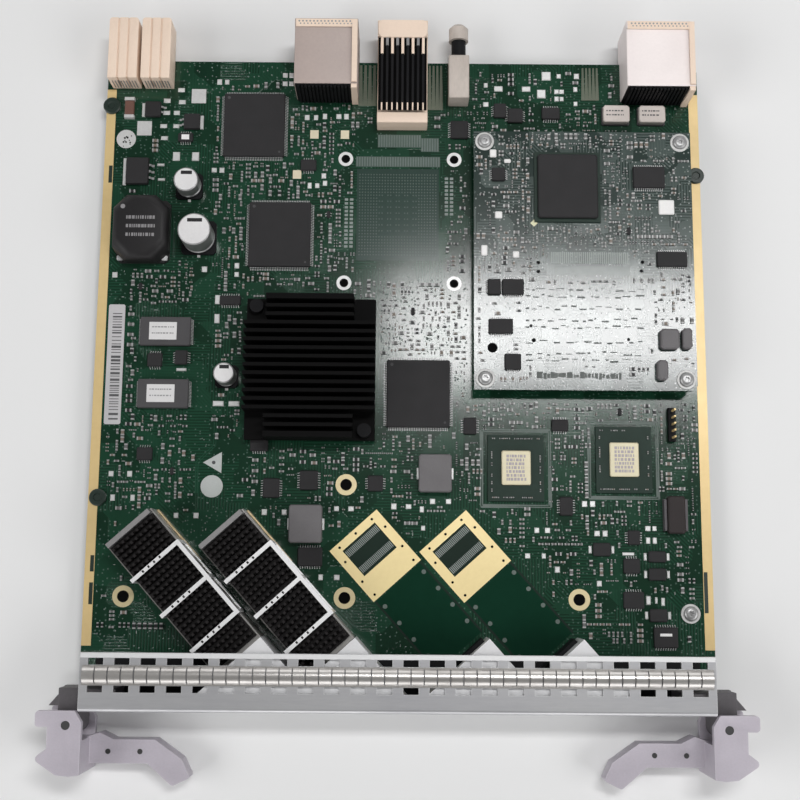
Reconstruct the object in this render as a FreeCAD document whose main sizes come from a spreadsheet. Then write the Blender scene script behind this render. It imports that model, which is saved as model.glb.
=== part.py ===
import FreeCAD, Part
import math
import os
import re
import Sketcher

# Plug-in optical interface card: a wide component board behind a slotted, folded front panel
# with two ejector levers, angled pluggable-module ports, backplane connectors along the rear edge
# and a raised daughter board. Millimetres. X runs to the right, Y towards the backplane, Z up.
# Places on the board: "_x" from the centre line, "_depth" from the panel's front face, and heights
# from the board's top face.
SIZES = {
    # main board
    "board_width": 233.35,
    "board_depth": 250.0,
    "board_thick": 2.4,
    "board_underside": 3.6,
    "board_setback": 3.0,
    "board_corner": 3.0,
    "edge_strip_width": 3.6,
    "edge_strip_thick": 0.15,
    "edge_strip_front": 22.0,
    "strip_gap": 0.6,
    "edge_strip_right_gap": 12.5,
    # plated mounting holes
    "sink_site_x": -0.8,
    "sink_site_inset": 65.0,
    "sink_site_half_x": 21.1,
    "sink_site_half_y": 24.9,
    "sink_hole_radius": 1.35,
    "ring_hole_radius": 1.8,
    "ring_left_x": -101.8,
    "ring_middle_x": -19.8,
    "ring_right_x": 67.0,
    "ring_front_depth": 39.8,
    "ring_rear_depth": 81.9,
    # folded front panel
    "panel_width": 224.0,
    "panel_height": 25.0,
    "sheet_thick": 1.2,
    "bend_radius": 1.6,
    "flange_depth": 20.6,
    "slot_count": 24,
    "slot_margin": 1.0,
    "slot_length": 5.4,
    "slot_width": 2.4,
    "slot_front_depth": 8.0,
    "slot_rear_depth": 17.5,
    # sprung contact strip on the flange
    "finger_split": 2,
    "finger_slit": 0.5,
    "finger_span": 6.6,
    "finger_rise": 1.7,
    "finger_thick": 0.4,
    "finger_rail": 0.7,
    # angled module ports, two pairs
    "port_angle": 48.0,
    "cage_gap": 2.7,
    "port_inset": 18.2,
    "port_pair_gap": 14.3,
    "valley_gap": 8.4,
    "bezel_wall": 1.0,
    "wing_rise": 5.0,
    "bezel_clearance": 0.8,
    # module cage, its cooler and clip
    "cage_length": 61.8,
    "cage_width": 21.0,
    "cage_wall": 0.5,
    "cage_end_gap": 0.2,
    "module_width": 18.35,
    "module_height": 8.5,
    "module_length": 66.0,
    "module_setback": 6.0,
    "module_clearance": 0.45,
    "module_port_side": 5.6,
    "module_port_pitch": 6.25,
    "module_port_depth": 8.0,
    "socket_width": 15.0,
    "socket_height": 6.0,
    "socket_length": 5.0,
    "cooler_base": 1.4,
    "cooler_height": 5.0,
    "cooler_inset": 0.6,
    "cooler_front_gap": 1.5,
    "cooler_row_pitch": 3.9,
    "cooler_column_pitch": 6.5,
    "cooler_groove": 1.2,
    "cooler_lip": 2.2,
    "cooler_rows": 4,
    "cooler_columns": 9,
    "clip_bar": 1.5,
    "clip_thick": 0.5,
    "clip_first": 16.6,
    "clip_pitch": 16.5,
    "clip_leg": 0.6,
    "clip_foot": 2.0,
    "blank_length": 2.4,
    "blank_face": 1.0,
    "blank_gap": 0.1,
    # plated ground areas of the two unfitted ports
    "ground_pad_length": 25.0,
    "ground_pad_width": 23.4,
    "ground_pad_thick": 0.12,
    "ground_window_start": 3.2,
    "ground_window_length": 12.4,
    "ground_window_width": 16.0,
    # ejector levers
    "lever_reach": 27.0,
    "pivot_inset": 4.2,
    "pivot_forward": 4.6,
    "pin_radius": 1.5,
    "pin_clearance": 0.06,
    "jaw_low": 0.5,
    "jaw_high": 24.0,
    "jaw_plate": 2.7,
    "jaw_reach": 10.8,
    "jaw_rear": 5.0,
    "jaw_notch_top": 0.6,
    "jaw_notch_base": 8.0,
    "jaw_notch_side": 6.4,
    "jaw_front": 17.4,
    "jaw_crown": 0.5,
    "hook_step": 0.9,
    "hook_top": 2.6,
    "hook_bottom": 4.2,
    "jaw_inner": 5.5,
    "web_front": 5.4,
    "handle_bite": 1.5,
    "handle_neck": 3.5,
    "handle_swell": 1.6,
    "handle_shoulder": 8.5,
    "arm_low": 2.0,
    "arm_high": 10.5,
    "arm_rear": 6.2,
    "arm_front": 14.6,
    "arm_bend": 29.0,
    "arm_bend_step": 2.5,
    "arm_tip": 42.0,
    "arm_drop": 10.0,
    "arm_tip_half": 3.2,
    "jaw_round": 1.4,
    "arm_round": 1.2,
    # lever bracket
    "boss_gap": 0.3,
    "bracket_high": 14.4,
    "bracket_depth": 8.0,
    "bracket_foot": 12.0,
    "ear_reach": 10.5,
    "ear_thick": 3.0,
    "ear_front": 0.8,
    "ear_heel": 1.0,
    "ear_taper": 4.0,
    "ear_middle": 4.6,
    # backplane connectors
    "rear_overhang": 13.3,
    "power_inset": 2.2,
    "power_width": 11.3,
    "power_gap": 1.5,
    "power_length": 24.8,
    "power_height": 10.5,
    "power_groove": 0.7,
    "power_groove_depth": 0.5,
    "power_groove_pitch": 3.8,
    "power_groove_count": 2,
    "power_notch_floor": 1.5,
    "power_round": 1.2,
    "power_socket_half": 1.6,
    "power_socket_floor": 2.0,
    "power_socket_roof": 3.0,
    "signal_height": 16.0,
    "signal_seat": 15.7,
    "signal_short": 2.7,
    "signal_lip": 3.2,
    "signal_lip_rise": 0.6,
    "signal_edge_gap": 0.3,
    "signal_cavity": 8.0,
    "signal_wall": 1.4,
    "signal_gap": 7.4,
    "signal_left_width": 24.4,
    "signal_right_inset": 4.2,
    "signal_right_width": 26.4,
    "middle_width": 19.6,
    "middle_length": 41.4,
    "middle_height": 10.0,
    "middle_floor": 6.0,
    "middle_front_wall": 4.4,
    "middle_rear_block": 6.8,
    "middle_front_drop": 1.5,
    "blade_count": 9,
    "blade_thick": 1.1,
    "blade_height": 4.2,
    "blade_rise": 0.8,
    "blade_front_gap": 2.6,
    "guide_gap": 8.25,
    "guide_width": 7.9,
    "guide_height": 9.0,
    "guide_seat": 18.0,
    "guide_length": 17.6,
    "guide_neck": 2.7,
    "guide_head": 3.8,
    "guide_head_length": 6.4,
    "guide_taper": 1.4,
    # gull-wing packages
    "quad_width": 24.0,
    "quad_length": 26.0,
    "quad_height": 2.0,
    "quad_gap_share": 0.324,
    "quad_rear_inset": 26.9,
    "quad_shift": 13.2,
    "quad_middle_inset": 71.3,
    "quad_front_gap": 4.3,
    "quad_front_shift": 8.6,
    # cooled processor
    "processor_x": -33.9,
    "processor_shift": 0.3,
    "processor_side": 35.0,
    "processor_height": 2.4,
    "sink_width": 49.0,
    "sink_length": 54.0,
    "sink_neck_width": 32.8,
    "sink_body_length": 37.0,
    "sink_base": 2.4,
    "sink_height": 12.0,
    "fin_pitch": 3.2,
    "fin_gap": 1.9,
    "fin_count": 16,
    "sink_corner_x": 20.6,
    "sink_corner_y": 23.6,
    "sink_corner_hole": 1.7,
    "pushpin_clearance": 0.05,
    "pushpin_head": 2.6,
    "pushpin_rise": 3.2,
    # gold-lidded optics chips
    "optics_gap": 6.5,
    "optics_spacing": 19.6,
    "optics_shift": 1.05,
    "optics_stagger": 3.4,
    "optics_width": 21.0,
    "optics_length": 25.0,
    "optics_height": 1.2,
    "optics_lid_width": 11.0,
    "optics_lid_length": 13.0,
    "optics_lid_height": 1.3,
    # power section
    "choke_gap": 2.7,
    "choke_inset": 70.5,
    "choke_width": 21.0,
    "choke_length": 25.4,
    "choke_corner": 5.6,
    "choke_height": 9.5,
    "can_base": 1.3,
    "can_base_margin": 0.4,
    "can_gap": 4.3,
    "can_shift": 2.3,
    "can_stagger": 4.4,
    "can_spacing": 8.9,
    "can_front_gap": 3.2,
    "can_front_shift": 2.5,
    "can_small_radius": 4.8,
    "can_small_height": 9.5,
    "can_large_radius": 6.3,
    "can_large_height": 13.0,
    "can_front_radius": 4.0,
    "can_front_height": 9.5,
    "transistor_inset": 13.4,
    "transistor_gap": 6.25,
    "transistor_width": 9.0,
    "transistor_length": 10.9,
    "transistor_height": 2.4,
    "transistor_tab": 1.2,
    "transistor_tab_thick": 0.6,
    "driver_side": 6.4,
    "driver_height": 2.2,
    "driver_inset": 18.5,
    "driver_rear_inset": 20.6,
    "driver_step": 15.5,
    "driver_stagger": 5.0,
    # shielded inductors, oscillators and other housings
    "shielded_width": 12.4,
    "shielded_length": 14.2,
    "shielded_height": 5.0,
    "shielded_left_gap": 16.2,
    "shielded_rise": 2.1,
    "shielded_step": 6.5,
    "shielded_shift": 1.95,
    "oscillator_width": 10.9,
    "oscillator_length": 7.5,
    "oscillator_height": 3.6,
    "oscillator_inset": 18.7,
    "oscillator_gap": 3.1,
    "oscillator_seat": 2.35,
    "memory_width": 19.4,
    "memory_length": 11.2,
    "memory_height": 2.6,
    "memory_inset": 26.9,
    "memory_shift": 2.95,
    "memory_gap": 3.05,
    "isolator_width": 15.6,
    "isolator_length": 6.8,
    "isolator_height": 2.6,
    "filter_inset": 13.5,
    "filter_shift": 1.15,
    "filter_width": 9.0,
    "filter_length": 14.1,
    "filter_height": 4.0,
    "header_inset": 14.0,
    "header_gap": 5.25,
    "header_width": 2.6,
    "header_length": 12.7,
    "header_height": 2.5,
    "header_pins": 5,
    "header_pin_pitch": 2.54,
    "header_pin": 0.64,
    "header_pin_rise": 5.0,
    # raised daughter board
    "mezzanine_inset": 5.7,
    "mezzanine_rear_inset": 31.9,
    "mezzanine_width": 83.4,
    "mezzanine_length": 101.0,
    "mezzanine_thick": 1.6,
    "mezzanine_lift": 8.0,
    "mezzanine_corner": 8.0,
    "mezzanine_hole_inset": 4.2,
    "mezzanine_hole": 1.7,
    "standoff_radius": 3.0,
    "screw_radius": 1.5,
    "screw_head": 3.6,
    "screw_head_height": 1.9,
    "stack_width": 52.0,
    "stack_length": 6.4,
    "stack_plug": 3.6,
    "stack_offset": 7.0,
    "stack_second": 40.0,
    "mezzanine_processor_x": -6.0,
    "mezzanine_processor_depth": 28.0,
    "mezzanine_processor_width": 25.2,
    "mezzanine_processor_length": 27.6,
    "mezzanine_processor_base": 1.0,
    "mezzanine_processor_cap": 1.6,
    "mezzanine_processor_rim": 1.1,
    "mezzanine_chip_height": 1.7,
    # lone board screw by the right-hand edge
    "board_screw_inset": 8.6,
    "board_screw_depth": 35.2,
    "board_screw_hole": 1.75,
    # how far a cutting shape runs past the face it cuts
    "cut_margin": 1.0,
}

FRONT_Y = "((lever_reach - board_depth - rear_overhang) / 2)"
TOP_Z = "(board_underside + board_thick)"
FLANGE_Z = "(panel_height - sheet_thick)"
APEX_SIDE = "(module_width / 2 + bezel_clearance + bezel_wall)"
PORT_WALL = "(cage_length + cage_end_gap)"
MODULE_LIFT = "(bezel_wall + module_clearance)"
CAGE_HEIGHT = f"({MODULE_LIFT} + module_height + module_clearance + cage_wall)"
MEZZANINE_TOP = "(mezzanine_lift + mezzanine_thick)"
SHANK_SIDES = 10

# Zig-zag of a port bezel, measured from the rear centre of its first cage.
APEX_X = f"({PORT_WALL} * cos(port_angle) + {APEX_SIDE} * sin(port_angle))"
APEX_Y = f"({APEX_SIDE} * cos(port_angle) - {PORT_WALL} * sin(port_angle))"
PANEL_BACK = "(sheet_thick - port_depth)"
SHIFT_X = "(bezel_wall * (cos(port_angle) - sin(port_angle)))"
SHIFT_Y = "(-bezel_wall * (cos(port_angle) + sin(port_angle)))"
WING_Y = f"({PANEL_BACK} + wing_rise)"
WING_X = f"({APEX_X} - ({APEX_Y} - {WING_Y}) * tan(port_angle))"
INNER_WING_Y = (f"({APEX_Y} + {SHIFT_Y} - ({APEX_X} + {SHIFT_X} - {WING_X} - bezel_wall)"
                " * cos(port_angle) / sin(port_angle))")
VALLEY_X = f"({APEX_X} + port_pitch - port_pitch * sin(port_angle) * sin(port_angle))"
VALLEY_Y = f"({APEX_Y} - port_pitch * sin(port_angle) * cos(port_angle))"
OUTER_END = f"({APEX_X} + port_pitch + ({APEX_Y} - {PANEL_BACK}) / tan(port_angle))"
INNER_END = f"({APEX_X} + {SHIFT_X} + port_pitch + ({APEX_Y} + {SHIFT_Y} - {PANEL_BACK}) / tan(port_angle))"
BEZEL_HEIGHT = f"({FLANGE_Z} - {TOP_Z} - (bend_radius - sheet_thick))"

# Places that follow from the sizes: each part stands off a board edge or a neighbour by a named gap.
PLACES = {
    "slot_pitch": "(panel_width - 2 * slot_margin) / slot_count",
    "port_pitch": "(cage_width + 2 * clip_leg + cage_gap) / sin(port_angle)",
    "port_pair_left_x": "port_inset - board_width / 2",
    "port_pair_right_x": "port_pair_left_x + 2 * port_pitch + port_pair_gap",
    "port_depth": f"sheet_thick + valley_gap - {VALLEY_Y}",
    "edge_strip_rear_gap": "power_length - rear_overhang + strip_gap",
    "sink_site_depth": "board_depth - sink_site_inset",
    "signal_front_depth": "board_depth - signal_seat",
    "signal_left_x": "-middle_width / 2 - signal_gap - signal_left_width / 2",
    "guide_x": "middle_width / 2 + guide_gap + guide_width / 2",
    "guide_front_depth": "board_depth - guide_seat",
    "processor_depth": "board_depth / 2 + processor_shift",
    "quad_space": "signal_left_x - signal_left_width / 2 - driver_front_x - driver_side / 2 - quad_width",
    "quad_rear_x": "signal_left_x - signal_left_width / 2 - quad_gap_share * quad_space - quad_width / 2",
    "quad_rear_depth": "board_depth - quad_rear_inset",
    "quad_middle_x": "processor_x - quad_shift",
    "quad_middle_depth": "board_depth - quad_middle_inset",
    "quad_front_x": "processor_x + sink_width / 2 + quad_front_gap + quad_width / 2",
    "quad_front_depth": "processor_depth - quad_front_shift",
    "mezzanine_x": "board_width / 2 - mezzanine_inset - mezzanine_width / 2",
    "mezzanine_depth": "board_depth - mezzanine_rear_inset - mezzanine_length / 2",
    "mezzanine_front": "mezzanine_depth - mezzanine_length / 2",
    "optics_right_x": "board_width / 2 - header_inset - header_width / 2 - optics_gap - optics_width / 2",
    "optics_right_depth": "(mezzanine_front + port_depth) / 2 + optics_shift",
    "optics_left_x": "optics_right_x - optics_width - optics_spacing",
    "optics_left_depth": "optics_right_depth - optics_stagger",
    "choke_x": "edge_strip_width + choke_gap + choke_width / 2 - board_width / 2",
    "choke_depth": "board_depth - choke_inset",
    "can_large_x": "choke_x + choke_width / 2 + can_gap + can_large_radius + can_base_margin",
    "can_large_depth": "choke_depth - can_shift",
    "can_small_x": "can_large_x - can_stagger",
    "can_reach": "can_large_radius + can_small_radius + 2 * can_base_margin",
    "can_small_depth": "can_large_depth + can_reach + can_spacing",
    "can_front_x": "processor_x - sink_width / 2 - can_front_gap - can_front_radius - can_base_margin",
    "can_front_depth": "processor_depth - can_front_shift",
    "transistor_x": "transistor_inset - board_width / 2",
    "transistor_depth": "choke_depth + (choke_length + transistor_length) / 2 + transistor_gap",
    "driver_rear_x": "driver_inset - board_width / 2",
    "driver_rear_depth": "board_depth - driver_rear_inset",
    "driver_front_x": "driver_rear_x + driver_step",
    "driver_front_depth": "driver_rear_depth - driver_stagger",
    "shielded_left_x": "port_pair_left_x + port_pitch + cage_width * sin(port_angle) / 2 + shielded_left_gap"
                       " + shielded_width / 2",
    "shielded_left_depth": "port_depth + shielded_rise",
    "shielded_right_x": "quad_front_x + shielded_step",
    "shielded_right_depth": "(port_depth + quad_front_depth - quad_length / 2) / 2 + shielded_shift",
    "oscillator_right_x": "board_width / 2 - oscillator_inset",
    "oscillator_left_x": "oscillator_right_x - oscillator_width - oscillator_gap",
    "oscillator_depth": "signal_front_depth - oscillator_seat - oscillator_length / 2",
    "memory_x": "memory_inset - board_width / 2",
    "memory_step": "isolator_length / 2 + memory_gap + memory_length / 2",
    "isolator_depth": "board_depth / 2 + memory_shift",
    "memory_rear_depth": "isolator_depth + memory_step",
    "memory_front_depth": "isolator_depth - memory_step",
    "header_depth": "mezzanine_front - header_gap - header_length / 2",
    "filter_depth": "(header_depth + board_screw_depth) / 2 + filter_shift",
}

# Packages of the daughter board: place from its centre, then width and length, as shares of the
# daughter board's own width and length.
MEZZANINE_CHIPS = (
    (-0.387, 0.325, 0.062, 0.053),
    (0.302, 0.317, 0.146, 0.085),
    (0.398, -0.002, 0.139, 0.059),
    (-0.409, -0.113, 0.060, 0.061),
    (-0.324, -0.113, 0.098, 0.061),
    (-0.380, -0.263, 0.110, 0.057),
    (-0.327, -0.397, 0.074, 0.061),
    (0.375, -0.309, 0.086, 0.077),
    (0.453, -0.307, 0.046, 0.079),
    (0.339, -0.426, 0.050, 0.075),
)

doc = FreeCAD.newDocument("optical_interface_board")
sheet = doc.addObject("Spreadsheet::Sheet", "Sizes")
for row, (alias, number) in enumerate(SIZES.items(), start=1):
    sheet.set(f"A{row}", alias)
    sheet.set(f"B{row}", str(number))
    sheet.setAlias(f"B{row}", alias)
doc.recompute()

pieces = []


def formula(text):
    """Point every size name in an expression at its cell, and write out the derived places."""
    def cell(word):
        name = word.group()
        if name in PLACES:
            return f"({formula(PLACES[name])})"
        return "Sizes." + name if name in SIZES else name
    return re.sub(r"[a-z][a-z0-9_]*", cell, str(text))


def bind(thing, **texts):
    for name, text in texts.items():
        thing.setExpression(name, formula(text))


def place(thing, x="0", y="0", z="0", turn=None, axis=(0, 0, 1)):
    if turn is not None:
        thing.Placement = FreeCAD.Placement(FreeCAD.Vector(), FreeCAD.Rotation(FreeCAD.Vector(*axis), 1))
        thing.setExpression("Placement.Rotation.Angle", formula(turn))
    for letter, text in zip("xyz", (x, y, z)):
        thing.setExpression("Placement.Base." + letter, formula(text))
    return thing


def keep(thing, label):
    thing.Label = label
    pieces.append(thing)
    return thing


def origin_feature(body, role):
    return [feature for feature in body.Origin.OriginFeatures if feature.Role == role][0]


def new_body(name, x="0", y="0", z="0", turn=None):
    return place(doc.addObject("PartDesign::Body", name), x, y, z, turn)


def sketch_on(body, plane="XY_Plane", lift=None):
    sketch = body.newObject("Sketcher::SketchObject", body.Name + "_sketch")
    sketch.AttachmentSupport = [(origin_feature(body, plane), "")]
    sketch.MapMode = "FlatFace"
    if lift is not None:
        sketch.setExpression("AttachmentOffset.Base.z", formula(lift))
    return sketch


def measure(sketch, kind, element, point, text):
    """One driven distance from the sketch's origin, or a radius."""
    if kind == "Radius":
        index = sketch.addConstraint(Sketcher.Constraint(kind, element, 1.0))
    else:
        index = sketch.addConstraint(Sketcher.Constraint(kind, -1, 1, element, point, 1.0))
    sketch.setExpression(f"Constraints[{index}]", formula(text))


def polygon(sketch, corners):
    first = sketch.GeometryCount
    count = len(corners)
    ring = [FreeCAD.Vector(math.cos(math.tau * k / count), math.sin(math.tau * k / count),
                           0) for k in range(count)]
    for k in range(count):
        sketch.addGeometry(Part.LineSegment(ring[k], ring[(k + 1) % count]), False)
    for k in range(count):
        sketch.addConstraint(Sketcher.Constraint("Coincident", first + k, 2, first + (k + 1) % count, 1))
    for k, (across, along) in enumerate(corners):
        measure(sketch, "DistanceX", first + k, 1, across)
        measure(sketch, "DistanceY", first + k, 1, along)
    return sketch


def rectangle(sketch, left, low, right, high):
    return polygon(sketch, [(left, low), (right, low), (right, high), (left, high)])


def circle(sketch, x, y, radius):
    index = sketch.addGeometry(Part.Circle(FreeCAD.Vector(1, 1, 0), FreeCAD.Vector(0, 0, 1), 1.0), False)
    measure(sketch, "Radius", index, 0, radius)
    measure(sketch, "DistanceX", index, 3, x)
    measure(sketch, "DistanceY", index, 3, y)
    return sketch


def pad(body, sketch, length):
    feature = body.newObject("PartDesign::Pad", body.Name + "_pad")
    feature.Profile = sketch
    bind(feature, Length=length)
    return feature


def pocket(body, sketch, length, along_normal=False):
    feature = body.newObject("PartDesign::Pocket", body.Name + "_pocket")
    feature.Profile = sketch
    feature.Reversed = along_normal
    bind(feature, Length=length)
    return feature


def repeat(body, feature, axis, length, count):
    pattern = body.newObject("PartDesign::LinearPattern", body.Name + "_row")
    pattern.Originals = [feature]
    pattern.Direction = (origin_feature(body, axis), [""])
    bind(pattern, Length=length, Occurrences=count)
    body.Tip = pattern
    return pattern


def round_edges(body, radius, wanted):
    """Fillet the edges of the body's last feature that the test picks out by midpoint and direction."""
    doc.recompute()
    tip = body.Tip
    names = []
    for number, edge in enumerate(tip.Shape.Edges, start=1):
        start, end = edge.Vertexes[0].Point, edge.Vertexes[-1].Point
        if edge.Curve.TypeId == "Part::GeomLine" and wanted((start + end) * 0.5, end - start):
            names.append(f"Edge{number}")
    feature = body.newObject("PartDesign::Fillet", body.Name + "_fillet")
    feature.Base = (tip, names)
    bind(feature, Radius=radius)
    body.Tip = feature
    return feature


def block(name, width, length, height, x="0", y="0", z="0"):
    """Box centred on x, y with its foot at z."""
    box = doc.addObject("Part::Box", name)
    bind(box, Length=width, Width=length, Height=height)
    return place(box, f"{x} - ({width}) / 2", f"{y} - ({length}) / 2", z)


def post(name, radius, height, x="0", y="0", z="0"):
    cylinder = doc.addObject("Part::Cylinder", name)
    bind(cylinder, Radius=radius, Height=height)
    return place(cylinder, x, y, z)


def prism(name, sides, radius, height, x, y, z):
    """Many-sided column, for standoffs and for shanks that stay hidden in their holes."""
    column = doc.addObject("Part::Prism", name)
    column.Polygon = sides
    bind(column, Circumradius=radius, Height=height)
    return place(column, x, y, z)


def fused(name, parts):
    result = doc.addObject("Part::MultiFuse", name)
    result.Shapes = parts
    return result


def cut(name, base, tool):
    result = doc.addObject("Part::Cut", name)
    result.Base = base
    result.Tool = tool
    return result


def together(name, parts):
    result = doc.addObject("Part::Compound", name)
    result.Links = parts
    return result


def mirrored(name, source):
    result = doc.addObject("Part::Mirroring", name)
    result.Source = source
    result.Normal = FreeCAD.Vector(1, 0, 0)
    return result


def at_depth(depth):
    return f"({FRONT_Y} + {depth})"


def on_board(label, width, length, height, x, depth):
    return keep(block(label, width, length, height, x, at_depth(depth), TOP_Z), label)


# Main board with its plated holes and the bare guide edges.
SINK_SITE = [(f"sink_site_x {sx} sink_site_half_x",
              f"sink_site_depth {sy} sink_site_half_y") for sx in "-+" for sy in "-+"]
RINGS = (
    ("ring_left_x", "ring_front_depth"),
    ("ring_middle_x", "ring_front_depth"),
    ("ring_right_x", "ring_front_depth"),
    ("ring_middle_x", "ring_rear_depth"),
)
board = new_body("main_board", y=FRONT_Y, z="board_underside")
half = "board_width / 2"
pad(board, polygon(sketch_on(board), [
    (f"-{half}", "board_setback"),
    (half, "board_setback"),
    (half, "board_depth - board_corner"),
    (f"{half} - board_corner", "board_depth"),
    (f"board_corner - {half}", "board_depth"),
    (f"-{half}", "board_depth - board_corner"),
]), "board_thick")
holes = sketch_on(board)
for x, depth in SINK_SITE:
    circle(holes, x, depth, "sink_hole_radius")
for x, depth in RINGS:
    circle(holes, x, depth, "ring_hole_radius")
circle(holes, f"{half} - board_screw_inset", "board_screw_depth", "board_screw_hole")
pocket(board, holes, "board_thick", along_normal=True)
keep(board, "main_board")

strips = []
for side, sign, rear_gap in (("left", "-", "edge_strip_rear_gap"), ("right", "", "edge_strip_right_gap")):
    strip_length = f"(board_depth - {rear_gap} - edge_strip_front)"
    strips.append(block(f"edge_strip_{side}", "edge_strip_width", strip_length, "edge_strip_thick",
                        f"{sign}(board_width - edge_strip_width) / 2",
                        at_depth(f"(edge_strip_front + {strip_length} / 2)"), TOP_Z))
keep(together("edge_strips", strips), "edge_strips")

# Front panel: front plate and slotted top flange folded from one sheet.
panel = new_body("front_panel", y=FRONT_Y)
pad(panel, polygon(sketch_on(panel, "YZ_Plane", "-panel_width / 2"), [
    ("0", "0"),
    ("sheet_thick", "0"),
    ("sheet_thick", FLANGE_Z),
    ("flange_depth", FLANGE_Z),
    ("flange_depth", "panel_height"),
    ("0", "panel_height"),
]), "panel_width")
sheet_edge = SIZES["sheet_thick"]
long_run = SIZES["panel_width"] / 4


def outer_bend(mid, run):
    return abs(run.x) > long_run and mid.y < 0.01 and mid.z > 2 * sheet_edge


def inner_bend(mid, run):
    inside = 0.01 < mid.y < 1.9 * sheet_edge
    below = 2 * sheet_edge < mid.z < SIZES["panel_height"] - 0.9 * sheet_edge
    return abs(run.x) > long_run and inside and below


round_edges(panel, "bend_radius", outer_bend)
round_edges(panel, "bend_radius - sheet_thick", inner_bend)
slots = sketch_on(panel, lift="panel_height")
slot_left = "-(slot_count - 1) * slot_pitch / 2 - slot_length / 2"
slot_right = "-(slot_count - 1) * slot_pitch / 2 + slot_length / 2"
for row in ("slot_front_depth", "slot_rear_depth"):
    rectangle(slots, slot_left, f"{row} - slot_width / 2", slot_right, f"{row} + slot_width / 2")
repeat(panel, pocket(panel, slots, "2 * sheet_thick"), "X_Axis", "(slot_count - 1) * slot_pitch",
       "slot_count")
windows = sketch_on(panel, "XZ_Plane")
for pair in ("port_pair_left_x", "port_pair_right_x"):
    rectangle(windows, f"{pair} + {WING_X} + bezel_wall", f"{TOP_Z} + bezel_wall",
              f"{pair} + {INNER_END}", f"{FLANGE_Z} - bezel_wall")
pocket(panel, windows, "sheet_thick")
keep(panel, "front_panel")

# Sprung contact strip: a row of arched fingers between two rails lying on the flange.
strip = new_body("finger_strip", y=at_depth("(slot_front_depth + slot_rear_depth) / 2"), z="panel_height")
finger_pitch = "(slot_pitch / finger_split)"
finger_count = "(slot_count * finger_split)"
ARCH_STEPS = 3
arch = []
for step in range(ARCH_STEPS + 1):
    share = 2 * step / ARCH_STEPS - 1
    arch.append((f"{share} * finger_span / 2", f"finger_thick + {1 - share ** 2} * finger_rise"))
for step in range(ARCH_STEPS, -1, -1):
    share = 2 * step / ARCH_STEPS - 1
    arch.append((f"{share} * (finger_span / 2 - finger_thick)", f"{1 - share ** 2} * finger_rise"))
finger = pad(strip, polygon(sketch_on(strip, "YZ_Plane",
                                      f"-{finger_count} * {finger_pitch} / 2 + finger_slit / 2"),
                            arch), f"{finger_pitch} - finger_slit")
repeat(strip, finger, "X_Axis", f"({finger_count} - 1) * {finger_pitch}", finger_count)
rails = sketch_on(strip)
rail_half = f"{finger_count} * {finger_pitch} / 2"
for sign in ("-", ""):
    rectangle(rails, f"-{rail_half}", f"{sign}(finger_span / 2 - finger_thick / 2) - finger_rail / 2",
              rail_half, f"{sign}(finger_span / 2 - finger_thick / 2) + finger_rail / 2")
pad(strip, rails, "finger_thick")
keep(strip, "finger_strip")


# Angled ports: folded bezel, cages with coolers, pluggable modules.
def port_bezel(label, pair):
    bezel = new_body(label, pair, at_depth("port_depth"), TOP_Z)
    pad(bezel, polygon(sketch_on(bezel), [
        (WING_X, PANEL_BACK),
        (OUTER_END, PANEL_BACK),
        (f"{APEX_X} + port_pitch", APEX_Y),
        (VALLEY_X, VALLEY_Y),
        (APEX_X, APEX_Y),
        (WING_X, WING_Y),
    ]), BEZEL_HEIGHT)
    pocket(bezel, polygon(sketch_on(bezel, lift="bezel_wall"), [
        (f"{WING_X} + bezel_wall", PANEL_BACK),
        (INNER_END, PANEL_BACK),
        (f"{APEX_X} + {SHIFT_X} + port_pitch", f"{APEX_Y} + {SHIFT_Y}"),
        (f"{VALLEY_X} + {SHIFT_X}", f"{VALLEY_Y} + {SHIFT_Y}"),
        (f"{APEX_X} + {SHIFT_X}", f"{APEX_Y} + {SHIFT_Y}"),
        (f"{WING_X} + bezel_wall", INNER_WING_Y),
    ]), f"{BEZEL_HEIGHT} - 2 * bezel_wall", along_normal=True)
    mouths = sketch_on(bezel, lift=f"{MODULE_LIFT} - module_clearance")
    for shift in ("0", "port_pitch"):
        corners = []
        for run, side in (("", "-"), ("", "+"), (" + 1.5 * bezel_wall", "+"),
                          (" + 1.5 * bezel_wall", "-")):
            reach = f"({PORT_WALL} - bezel_wall / 2{run})"
            across = f"({side}(module_width / 2 + module_clearance))"
            corners.append((f"{shift} + {reach} * cos(port_angle) + {across} * sin(port_angle)",
                            f"{across} * cos(port_angle) - {reach} * sin(port_angle)"))
        polygon(mouths, corners)
    pocket(bezel, mouths, "module_height + 2 * module_clearance", along_normal=True)
    return keep(bezel, label)


def angled(thing, pair, shift, z=TOP_Z):
    """Turn a piece built along +X onto the axis of one port."""
    return place(thing, f"{pair} + {shift}", at_depth("port_depth"), z, "-port_angle")


def port_cage(number, pair, shift):
    shell = block(f"cage_shell_{number}", "cage_length", "cage_width", CAGE_HEIGHT, "cage_length / 2")
    room = block(f"cage_room_{number}", "cage_length", "cage_width - 2 * cage_wall",
                 f"{CAGE_HEIGHT} - 2 * cage_wall",
                 "cage_length / 2 + cage_wall", z="cage_wall")
    return keep(angled(cut(f"cage_{number}", shell, room), pair, shift), f"cage_{number}")


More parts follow.
